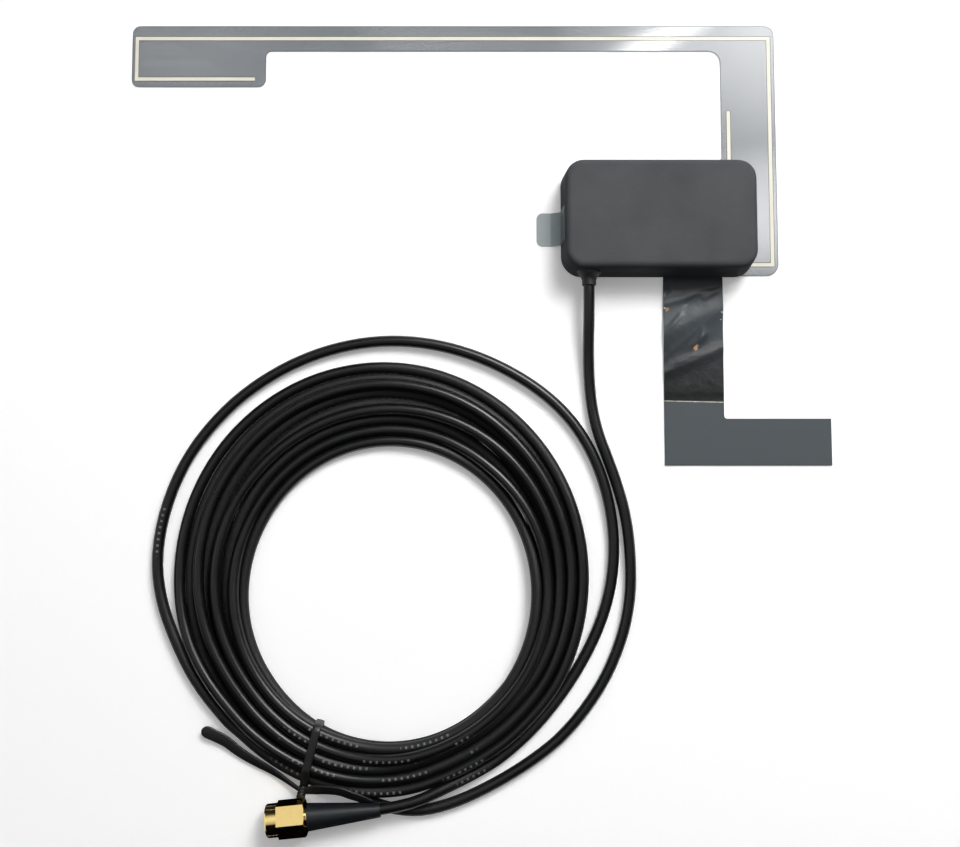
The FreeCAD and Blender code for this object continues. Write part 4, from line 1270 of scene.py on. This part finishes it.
@dataclass
class FilmAntenna:
    """Film with its printed lines, the pull tab and the drawn edges."""

    strip_width: float = 6.7
    pad_length: float = 34.4
    pad_depth: float = 16.1
    leg_width: float = 13.9
    terminal_left: float = -12.0
    terminal_top: float = 15.85
    trace_half: float = 0.45
    trace_insets: dict[str, float] = field(default_factory=lambda: {
        "top": 3.3, "right": 1.45, "left": 1.2, "bottom": 2.85, "pad": 2.1, "end": 2.85})
    short_inset: float = 1.9
    short_top: float = 29.1
    edge_width: float = 0.18
    edge_height: float = 0.03
    trim_width: float = 0.16
    corner: float = 2.0
    pad_inner_corner: float = 1.5
    leg_inner_corner: float = 3.0
    terminal_inner_corner: float = 1.3
    leg_foot_corner: float = 3.0
    leg_top_corner: float = 2.5
    # Where the traces come out from under the case
    long_start: float = 20.0
    short_start: float = 14.8

    def build(self, lines: LineTree) -> None:
        """Dresses the film and its traces, and draws their edges.

        Args:
            lines: Tree that draws the edges.
        """
        # PET film with a grey hard coat: half see-through, so that the table shows, with a sharp glare
        CadDresser.dress(FilmFinish("tinted_pet_film", "#6a737b", 0.07, specular=1.0, cover=0.6),
                         "antenna_film")
        # Clear PET tab, semi-matt: paler and less see-through than the antenna's film. The pale colour is
        # partly painted reflection, of the table that the tab mirrors where it rises against the case
        CadDresser.dress(FilmFinish("clear_pet_tab", "#a3b0b2", 0.3, specular=0.3, cover=0.62), "clear_tab")
        # Silver ink under a cream varnish: matt and a little uneven
        ink = GrainedFinish("varnished_silver_ink", "#efeadb", 0.45, grain_mm=0.25, tone="#e2dac0")
        CadDresser.dress(ink, "long_trace", "short_trace")
        # Cut edge of the film: an opaque line that looks dark from above. Lines beside the ink: painted
        # shadow that the traces cast through the film
        cut = GrainedFinish("cut_film_edge", "#73797d", 0.3, tone="#5b6063", grain_mm=0.4)
        low, high = [[v / MM for v in corner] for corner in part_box("antenna_film")]
        top = high[2] + self.edge_height / 2
        edge = lines.draw("film_edges", [(self.outline(low, high, top), True)], self.edge_width,
                          self.edge_height, cut.material())
        settle(edge, edge.data.materials[0], Body.ANTENNA)
        # Painted shadow of the traces, drawn as dark lines beside them
        rim = GrainedFinish("painted_trace_shadow", "#5d5d55", 0.4, tone="#45453f", grain_mm=0.4)
        trims = lines.draw("trace_rims", self.rims(low, high, top), self.trim_width, self.edge_height,
                           rim.material())
        settle(trims, trims.data.materials[0], Body.ANTENNA)

    def outline(self, low: Sequence[float], high: Sequence[float], height: float) -> list[Point]:
        """Outline of the film, half a drawn edge inwards.

        Args:
            low: Lower corner of the film's box.
            high: Upper corner of the film's box.
            height: Height of the line.

        Returns:
            Points of the closed outline.
        """
        strip = high[1] - self.strip_width
        pad_right = low[0] + self.pad_length
        pad_low = high[1] - self.pad_depth
        leg = high[0] - self.leg_width
        corners = [(low[0], high[1], self.corner), (low[0], pad_low, self.corner),
                   (pad_right, pad_low, self.corner), (pad_right, strip, self.pad_inner_corner),
                   (leg, strip, self.leg_inner_corner), (leg, self.terminal_top, self.terminal_inner_corner),
                   (self.terminal_left, self.terminal_top, self.corner),
                   (self.terminal_left, low[1], self.corner),
                   (high[0], low[1], self.leg_foot_corner), (high[0], high[1], self.leg_top_corner)]
        return rounded_outline(corners, self.edge_width / 2, height)

    def rims(self, low: Sequence[float], high: Sequence[float],
             height: float) -> list[tuple[list[Point], bool]]:
        """Lines along both sides of the traces, which paint the traces' shadow.

        Args:
            low: Lower corner of the film's box.
            high: Upper corner of the film's box.
            height: Height of the lines.

        Returns:
            Points of each line, none of them closed.
        """
        inset = self.trace_insets
        right, top, left = high[0] - inset["right"], high[1] - inset["top"], low[0] + inset["left"]
        bottom, pad = low[1] + inset["bottom"], high[1] - self.pad_depth + inset["pad"]
        end = low[0] + self.pad_length - inset["end"]
        beside = self.trace_half + self.trim_width / 2
        long_lines = []
        for way in (beside, -beside):
            long_lines.append(([(self.long_start, bottom - way, height), (right + way, bottom - way, height),
                                (right + way, top + way, height), (left - way, top + way, height),
                                (left - way, pad - way, height), (end, pad - way, height)], False))
        x = high[0] - self.leg_width + self.short_inset
        short = [(x - beside, self.short_start, height), (x - beside, self.short_top, height),
                 (x + beside, self.short_top, height), (x + beside, self.short_start, height)]
        return long_lines + [(short, False)]


class AmplifierCase:
    """Amplifier case, what is inside it and the gland."""

    def build(self) -> None:
        """Dresses the case and its contents."""
        dress = CadDresser.dress
        # ABS from a spark-eroded mould: even fine grain and little shine, so dark walls. The grey is partly
        # painted sheen: it stands for the broad dull highlight on the black top
        dress(GrainedFinish("spark_grained_abs", "#585a5c", 0.6, specular=0.03, grain_mm=0.4, depth_mm=0.05,
                            tone="#4c4e50", tone_share=0.8, patch_mm=14.0),
              "amplifier_cover", "amplifier_base")
        # Foam tape: small pores at the cut edge, no shine
        dress(GrainedFinish("closed_cell_foam", "#1d1d1e", 0.9, specular=0.2, grain_mm=0.5, depth_mm=0.06),
              "adhesive_pad")
        # Solder mask over glass cloth: green and glossy with a faint weave
        dress(GrainedFinish("solder_mask_laminate", "#1f4a2b", 0.3, grain_mm=0.6, depth_mm=0.006,
                            tone="#163a21"), "circuit_board")
        # Moulding compound: dull black with a sandy skin
        dress(GrainedFinish("moulding_compound", "#1c1c1d", 0.6, grain_mm=0.2, tone="#262627"),
              "amplifier_chip", "chip_inductors")
        # Fired ceramic: tan, matt and slightly mottled
        dress(GrainedFinish("fired_ceramic", "#b89c78", 0.55, grain_mm=0.2, tone="#9c8160", patch_mm=1.0),
              "band_filter", "chip_capacitors")
        # Bronze strip: warm and bright with rolling lines
        dress(PlatedFinish("spring_bronze", "#c8964f", 0.25, metallic=1.0, turn_deg=0.0),
              "long_trace_spring", "short_trace_spring", "ground_spring", "snap_ring")
        # Tinned copper: grey-white with a soft shine
        dress(PlatedFinish("tinned_copper", "#bcbdbb", 0.35, metallic=1.0, turn_deg=0.0),
              "cable_clip", "cable_braid", "core_wire")
        # PTFE and foamed polyethylene: white, waxy
        dress(GrainedFinish("white_ptfe", "#e6e5e0", 0.45, grain_mm=0.4, tone="#d8d6cf"),
              "cable_core", "dielectric")
        # Moulded rubber: black with a soft bloom
        dress(GrainedFinish("moulded_rubber", "#18191a", 0.55, grain_mm=0.3, tone="#202122"), "cable_grommet")


@dataclass
class GroundFoil:
    """Creased foil strip with its flat foot."""

    thickness: float = 0.12
    left: float = 1.4
    right: float = 16.4
    wall_y: float = -14.2
    tongue_end: float = -4.95
    strip_end: float = -45.3
    foot_top: float = -49.9
    foot_bottom: float = -61.65
    foot_right: float = 43.1
    case_bottom: float = 0.9
    rest_height: float = 0.15
    corner: float = 0.7
    # Folds that cross the strip: run from the wall at its left and right edge, height and half width
    folds: tuple[tuple[float, float, float, float], ...] = (
        (14.4, 7.4, 0.72, 3.4), (24.2, 17.9, 0.36, 1.6), (7.0, 2.6, 0.16, 0.8), (3.4, 2.4, -0.12, 0.9),
        (20.4, 8.0, 0.10, 0.9))
    # Short creases: start, heading from the strip's width in degrees, length, height and half width
    creases: tuple[tuple[float, float, float, float, float, float], ...] = (
        (8.6, -32.0, 45.0, 5.5, 0.34, 0.8), (2.6, -27.6, 50.0, 5.6, 0.24, 0.6),
        (11.4, -19.8, 30.0, 4.4, 0.22, 0.65), (1.8, -18.6, 55.0, 3.2, -0.20, 0.6),
        (10.4, -30.4, 70.0, 3.8, 0.26, 0.65), (3.6, -36.4, 26.0, 6.4, 0.16, 0.55),
        (6.8, -21.4, 38.0, 4.6, -0.18, 0.6))
    # Spots worn to bare copper, and pale scuffs: X, Y, radius and strength
    worn_spots: tuple[tuple[float, float, float, float], ...] = (
        (2.3, -22.3, 0.8, 0.7), (9.4, -32.1, 0.7, 1.0), (9.9, -31.5, 0.4, 0.8))
    scuffs: tuple[tuple[float, float, float, float], ...] = (
        (1.8, -22.0, 0.35, 0.9), (16.1, -23.2, 0.3, 1.0), (15.9, -25.0, 0.25, 0.9), (9.8, -33.6, 0.2, 0.6),
        (1.6, -28.0, 0.2, 0.6), (6.9, -30.4, 0.14, 0.5), (1.6, -38.4, 0.2, 0.5))
    # Stretch of the strip painted grey as a sheen of light: its middle and half length
    sheen_stretch: tuple[float, float] = (-23.5, 10.5)
    # Fold at the foot: its length, and the start, slant and half width of its pale line, a painted highlight
    # along the fold
    fold_length: float = 0.9
    line_start: float = 0.15
    line_slant: float = 0.35
    line_half: float = 0.11
    foot_blend: float = 0.5
    # Points across the strip, and along its tongue, its length and its fold
    across_points: int = 51
    along_points: tuple[int, int, int] = (8, 105, 10)
    # How fast the strip comes down from the case, how high it then lies, and how sharp its folds are
    slope_length: float = 7.0
    lift: float = 0.12
    fold_power: float = 1.8
    # Ripple: height, and two waves, each in radians per millimetre across and along
    ripple: float = 0.02
    ripple_waves: tuple[tuple[float, float], tuple[float, float]] = ((1.1, 0.5), (0.4, 0.6))
    # Least height above the table, and the lengths over which the sheet eases into case and foot
    least_height: float = 0.03
    calm_at_case: float = 1.5
    calm_at_foot: float = 2.5
    sharp_deg: float = 40.0

    def build(self) -> None:
        """Shapes and dresses the foil, and dresses the liner under its foot."""
        tongue, strip, fold = self.along_points
        across = np.linspace(self.left, self.right, self.across_points)
        along = np.concatenate((np.linspace(self.tongue_end, self.wall_y, tongue)[:-1],
                                np.linspace(self.wall_y, self.strip_end, strip)[:-1],
                                np.linspace(self.strip_end, self.strip_end - self.fold_length, fold)))
        x, y = np.meshgrid(across, along)
        under = np.stack((x, y, self.heights(x, y)), axis=-1).reshape(-1, 3)
        wide = len(across)
        faces = []
        for start in range(0, wide * (len(along) - 1), wide):
            for corner in range(start, start + wide - 1):
                faces.append([corner, corner + wide, corner + wide + 1, corner + 1])
        foot = self.foot_outline()
        last_row = list(range(len(under) - wide, len(under)))
        faces.append(last_row[:1] + list(range(len(under), len(under) + len(foot))) + last_row[:0:-1])
        foil = self.thicken(np.vstack((under, foot)), faces)
        self.paint(foil)
        # Lacquer on copper: black and half shiny, so that creases catch the light
        finish = FoilFinish("lacquered_copper_foil", "#121313", 0.36, specular=0.36)
        settle(foil, finish.material(), Body.ANTENNA, ("ground_foil",))
        # Siliconised paper: white with a faint fibre
        CadDresser.dress(GrainedFinish("siliconised_paper", "#e6e4de", 0.6, grain_mm=0.5, tone="#dad7cf"),
                         "foot_liner")

    def foot_outline(self) -> list[Point]:
        """Outline of the flat foot, from the strip's left edge round to its right edge.

        Returns:
            Points in millimetres.
        """
        low = self.rest_height
        inner = [(self.right + self.corner * (1 - math.sin(turn)),
                  self.foot_top + self.corner * (1 - math.cos(turn)), low)
                 for turn in np.linspace(0, math.pi / 2, CORNER_POINTS)]
        return [(self.left, self.foot_bottom, low), (self.foot_right, self.foot_bottom, low),
                (self.foot_right, self.foot_top, low), *inner]

    def heights(self, x: np.ndarray, y: np.ndarray) -> np.ndarray:
        """Height of the foil's underside.

        Args:
            x: Places across.
            y: Places along.

        Returns:
            Heights in millimetres.
        """
        run = self.wall_y - y
        length = self.wall_y - self.strip_end
        share = np.clip((x - self.left) / (self.right - self.left), 0, 1)
        slope = np.exp(-np.maximum(run, 0) / self.slope_length)
        base = self.rest_height + (self.case_bottom - self.rest_height) * slope + self.lift
        for at_left, at_right, height, half in self.folds:
            crest = at_left + (at_right - at_left) * share
            base += height * np.exp(-np.abs((run - crest) / half) ** self.fold_power)
        for start_x, start_y, heading, reach, height, half in self.creases:
            east, north = math.cos(math.radians(heading)), math.sin(math.radians(heading))
            ahead = (x - start_x) * east + (y - start_y) * north
            beside = (x - start_x) * north - (y - start_y) * east
            base += height * np.exp(-(beside / half) ** 2) * np.exp(-((ahead - reach / 2) / (reach / 2)) ** 4)
        first, second = [np.sin(across * x + along * run) for across, along in self.ripple_waves]
        base += self.ripple * first * second
        calm = np.clip(np.minimum(run / self.calm_at_case, (length - run) / self.calm_at_foot), 0, 1)
        flat = np.where(run < length / 2, self.case_bottom, self.rest_height)
        return flat + (np.maximum(base, self.least_height) - flat) * calm * calm * (3 - 2 * calm)

    def thicken(self, under: np.ndarray, faces: list[list[int]]) -> bpy.types.Object:
        """Closes the sheet with a second skin above it and a rim.

        Args:
            under: Points of the underside.
            faces: Its faces.

        Returns:
            The closed sheet.
        """
        count = len(under)
        over = under + (0.0, 0.0, self.thickness)
        edges = dict.fromkeys(edge for face in faces for edge in zip(face, face[1:] + face[:1]))
        rim = [edge for edge in edges if edge[::-1] not in edges]
        skins = [[index + count for index in face] for face in faces] + [face[::-1] for face in faces]
        walls = [[start, end, end + count, start + count] for start, end in rim]
        foil = mesh_object("ground_foil_sheet", np.vstack((under, over)), skins + walls)
        face_outwards(foil)
        foil.data.set_sharp_from_angle(angle=math.radians(self.sharp_deg))
        return foil

    def paint(self, foil: bpy.types.Object) -> None:
        """Stores on each point its share of the painted sheen in the middle, of the foot with its painted
        sheen, of worn spots, and of pale lines that paint the fold's highlight and mark scuffs.

        Args:
            foil: The closed sheet.
        """
        x, y = np.array([vertex.co[:2] for vertex in foil.data.vertices]).T / MM
        # The pale line along the fold is a painted highlight
        slant = self.line_slant * np.clip((x - self.left) / (self.right - self.left), 0, 1)
        line = np.exp(-((y - (self.strip_end - self.line_start - slant)) / self.line_half) ** 2)
        # Painted sheen over the middle of the strip
        store_shares(foil, "painted_sheen", np.exp(-((y - self.sheen_stretch[0]) / self.sheen_stretch[1]) ** 2))
        store_shares(foil, "worn", self.spots(x, y, self.worn_spots))
        store_shares(foil, "foot", np.clip((self.strip_end - y) / self.foot_blend, 0, 1))
        store_shares(foil, "line", np.maximum(line, self.spots(x, y, self.scuffs)))

    @staticmethod
    def spots(x: np.ndarray, y: np.ndarray, marks: Sequence[tuple[float, float, float, float]]) -> np.ndarray:
        """Share of each point that belongs to one of some round marks.

        Args:
            x: Places of the points across.
            y: Places of the points along.
            marks: X, Y, radius and strength of each mark.

        Returns:
            Shares from zero to one.
        """
        shares = np.zeros(len(x))
        for mark_x, mark_y, radius, strength in marks:
            far = np.hypot(x - mark_x, y - mark_y) / radius
            shares = np.maximum(shares, strength * np.exp(-far ** 2))
        return shares


@dataclass
class TwistTie:
    """Plastic-covered wire tie: a band round the bundle, a twisted knot and two loose tails."""

    inner: tuple[float, float] = (-83.2, -122.9)
    outer: tuple[float, float] = (-87.4, -139.95)
    width: float = 2.0
    thickness: float = 0.7
    strand_radius: float = 1.4
    # The band: how far beside it and past its ends it holds strands, slack, gap to the table, and points
    grip_beside: float = 0.2
    grip_ends: tuple[float, float] = (3.0, 1.0)
    slack: float = 0.03
    floor_gap: float = 0.05
    band_points: int = 96
    knot: tuple[Point, Point] = ((-87.35, -139.4, 3.0), (-87.75, -141.6, 3.9))
    knot_wire: float = 0.5
    knot_section: tuple[float, float] = (1.1, 1.0)
    knot_turns: float = 1.6
    knot_points: int = 33
    # Tails: middle line, then shares of its length with the width there, and with the turn there in degrees
    tail_step: float = 0.35
    long_tail: tuple[Point, ...] = ((-87.9, -140.3, 2.6), (-92.0, -137.8, 1.5), (-95.2, -135.9, 1.1),
                                    (-98.6, -134.1, 0.95), (-101.6, -132.4, 0.95), (-104.0, -130.8, 1.0),
                                    (-106.2, -129.1, 1.1), (-108.7, -127.7, 1.25), (-112.4, -126.0, 1.5))
    long_widths: Stops = ((0.0, 1.3), (0.15, 1.4), (0.5, 2.3), (0.85, 3.0), (1.0, 3.1))
    long_twists: Stops = ((0.0, 50.0), (0.4, 15.0), (1.0, 4.0))
    edge_tail: tuple[Point, ...] = ((-87.5, -140.2, 3.6), (-83.5, -139.6, 4.7), (-78.7, -139.8, 5.3),
                                    (-75.3, -140.9, 5.2), (-70.4, -142.6, 4.4))
    edge_widths: Stops = ((0.0, 1.4), (0.2, 2.8), (0.8, 2.8), (1.0, 1.6))
    edge_twists: Stops = ((0.0, -20.0), (0.3, -35.0), (1.0, -45.0))
    # Share of the long tail that rounds off, and how much of its width the tip keeps, squared
    round_share: float = 0.06
    tip_square: float = 0.02

    def build(self, cable: np.ndarray) -> bpy.types.Object:
        """Ties the bundle.

        Args:
            cable: Points of the cable, in millimetres.

        Returns:
            The tie.
        """
        parts = [self.band(cable), *self.twisted_knot(),
                 self.tail("tie_tail", self.long_tail, self.long_widths, self.long_twists, True),
                 self.tail("tie_edge_tail", self.edge_tail, self.edge_widths, self.edge_twists, False)]
        shape = bmesh.new()
        for part in parts:
            shape.from_mesh(part.data)
        tie = mesh_object("wire_tie", [], [])
        shape.to_mesh(tie.data)
        shape.free()
        tie.data.shade_smooth()
        for part in parts:
            mesh = part.data
            bpy.data.objects.remove(part)
            bpy.data.meshes.remove(mesh)
        # Soft PVC over a steel wire: black, waxy, with faint press marks
        finish = GrainedFinish("soft_pvc_tie", "#151617", 0.42, grain_mm=0.5, depth_mm=0.012, tone="#1d1e1f")
        settle(tie, finish.material(), Body.ANTENNA, ("twist_tie",))
        return tie

    def band(self, cable: np.ndarray) -> bpy.types.Object:
        """Lays the band on the strands that it holds.

        Args:
            cable: Points of the cable.

        Returns:
            The closed band.
        """
        start = np.array(self.inner)
        heading = np.array(self.outer) - start
        length = np.linalg.norm(heading)
        heading /= length
        across = np.array((-heading[1], heading[0]))
        off = (cable[:, :2] - start) @ across
        run = (cable[:, :2] - start) @ heading
        near = np.abs(off) < self.width / 2 + self.grip_beside
        near &= (run > -self.grip_ends[0]) & (run < length + self.grip_ends[1])
        held = np.stack((run[near], cable[near, 2]), axis=1)
        turn = np.linspace(0, 2 * math.pi, self.band_points, endpoint=False)
        out = np.stack((np.cos(turn), np.sin(turn)), axis=1)
        touched = held[np.argmax(out @ held.T, axis=1)]
        loop = touched + out * (self.strand_radius + self.thickness / 2 + self.slack)
        loop[:, 1] = np.maximum(loop[:, 1], self.thickness / 2 + self.floor_gap)
        x, y = start[:, None] + heading[:, None] * loop[:, 0]
        path = np.stack((x, y, loop[:, 1]), axis=1)
        outward = np.stack((out[:, 0] * heading[0], out[:, 0] * heading[1], out[:, 1]), axis=1)
        side = np.repeat(np.array([(*across, 0.0)]), len(path), axis=0)
        section = np.repeat(flat_oval(self.width, self.thickness)[None], len(path), axis=0)
        return sweep("tie_band", path, side, outward, section, closed=True)

    def twisted_knot(self) -> list[bpy.types.Object]:
        """Twists the two ends of the tie around each other.

        Returns:
            The two twisted ends.
        """
        start, end = np.array(self.knot)
        axis = (end - start) / np.linalg.norm(end - start)
        first = np.cross(axis, (0.0, 0.0, 1.0))
        first /= np.linalg.norm(first)
        second = np.cross(axis, first)
        share = np.linspace(0, 1, self.knot_points)[:, None]
        turn = share * 2 * math.pi * self.knot_turns
        ends = []
        for number in range(2):
            angle = turn + number * math.pi
            path = start + (end - start) * share
            path = path + (first * np.cos(angle) + second * np.sin(angle)) * self.knot_wire
            side, normal = travelling_axes(path)
            section = np.repeat(flat_oval(*self.knot_section)[None], len(path), axis=0)
            ends.append(sweep("tie_knot", path, side, normal, section))
        return ends

    def tail(self, name: str, points: Sequence[Point], widths: Stops, twists: Stops,
             rounded: bool) -> bpy.types.Object:
        """Sweeps a flat oval that changes its width and turns about its path.

        Args:
            name: Name of the tail.
            points: Points of its middle line.
            widths: Shares of its length and the widths there.
            twists: Shares of its length and the turns about the path there, in degrees.
            rounded: Whether its end is round.

        Returns:
            The tail.
        """
        path = smooth_line(points, self.tail_step)
        share = np.linspace(0, 1, len(path))
        wide = np.interp(share, *np.transpose(widths))
        if rounded:
            to_tip = np.clip((share - 1 + self.round_share) / self.round_share, 0, 1)
            wide *= np.sqrt(np.clip(1 - to_tip ** 2, self.tip_square, 1))
        twist = np.radians(np.interp(share, *np.transpose(twists)))[:, None]
        side, normal = travelling_axes(path)
        turned = side * np.cos(twist) + normal * np.sin(twist)
        lifted = normal * np.cos(twist) - side * np.sin(twist)
        sections = np.stack([flat_oval(width, min(self.thickness, width)) for width in wide])
        return sweep(name, path, turned, lifted, sections)


@dataclass
class ScrewPlug:
    """Screw plug at the cable's end with its thread and sleeve."""

    front: Point = (-95.6, -146.95, 4.699)
    turn_deg: float = 5.5
    bore_radius: float = 2.95
    thread_pitch: float = 0.7056
    thread_turns: int = 7
    thread_start: float = 0.9
    thread_height: float = 0.2

    def build(self) -> bpy.types.Object:
        """Dresses the plug and winds its thread.

        Returns:
            The thread.
        """
        # Gold over nickel on turned brass: warm mirror with fine rings, so flats flash and flanks go dark
        gold = CadDresser.dress(PlatedFinish("gold_plated_brass", "#fbdd93", 0.11, metallic=1.0),
                                "coupling_nut", "connector_body", "centre_pin", "crimp_ferrule")
        # Silicone rubber: matt brick red
        CadDresser.dress(GrainedFinish("silicone_rubber", "#8d2f1d", 0.5, grain_mm=0.3, tone="#7a2617"),
                         "sealing_gasket")
        # Shrunk polyolefin: bluish black with a satin sheen
        CadDresser.dress(GrainedFinish("shrunk_polyolefin", "#16181c", 0.36, grain_mm=0.6, depth_mm=0.012,
                                       tone="#1d2025"), "heat_shrink")
        thread = self.thread(gold)
        settle(thread, gold, Body.NUT)
        return thread

    def thread(self, gold: bpy.types.Material) -> bpy.types.Object:
        """Winds the ridge of the inside thread and lays it along the plug's axis.

        Args:
            gold: Finish of the plug.

        Returns:
            The ridge at the origin.
        """
        holder = mesh_object("thread_holder", [(0, 0, 0)], [])
        made = ThreadTree().grow("bore_thread", holder, {
            "Radius": self.bore_radius * MM, "Length": self.thread_pitch * self.thread_turns * MM,
            "Turns": float(self.thread_turns), "Ridge": self.thread_height * MM, "Material": gold})
        turn = math.radians(self.turn_deg)
        heading = Vector((math.cos(turn), math.sin(turn), 0.0))
        place = Matrix.Translation((Vector(self.front) + heading * self.thread_start) * MM)
        made.transform(place @ heading.to_track_quat("Z", "Y").to_matrix().to_4x4())
        thread = link_object("bore_thread", made)
        face_outwards(thread)
        return thread


def main() -> None:
    """Builds the studio and dresses the object, one sub-assembly after another."""
    logging.basicConfig(level=logging.INFO, format="%(name)s: %(message)s")
    bpy.context.scene.view_settings.view_transform = "Standard"
    Studio().build()
    AmplifierCase().build()
    FilmAntenna().build(LineTree())
    GroundFoil().build()
    thread = ScrewPlug().build()
    cable = CoaxCable()
    cord = cable.build()
    tie = TwistTie().build(cable.path)


if __name__ == "__main__":
    main()
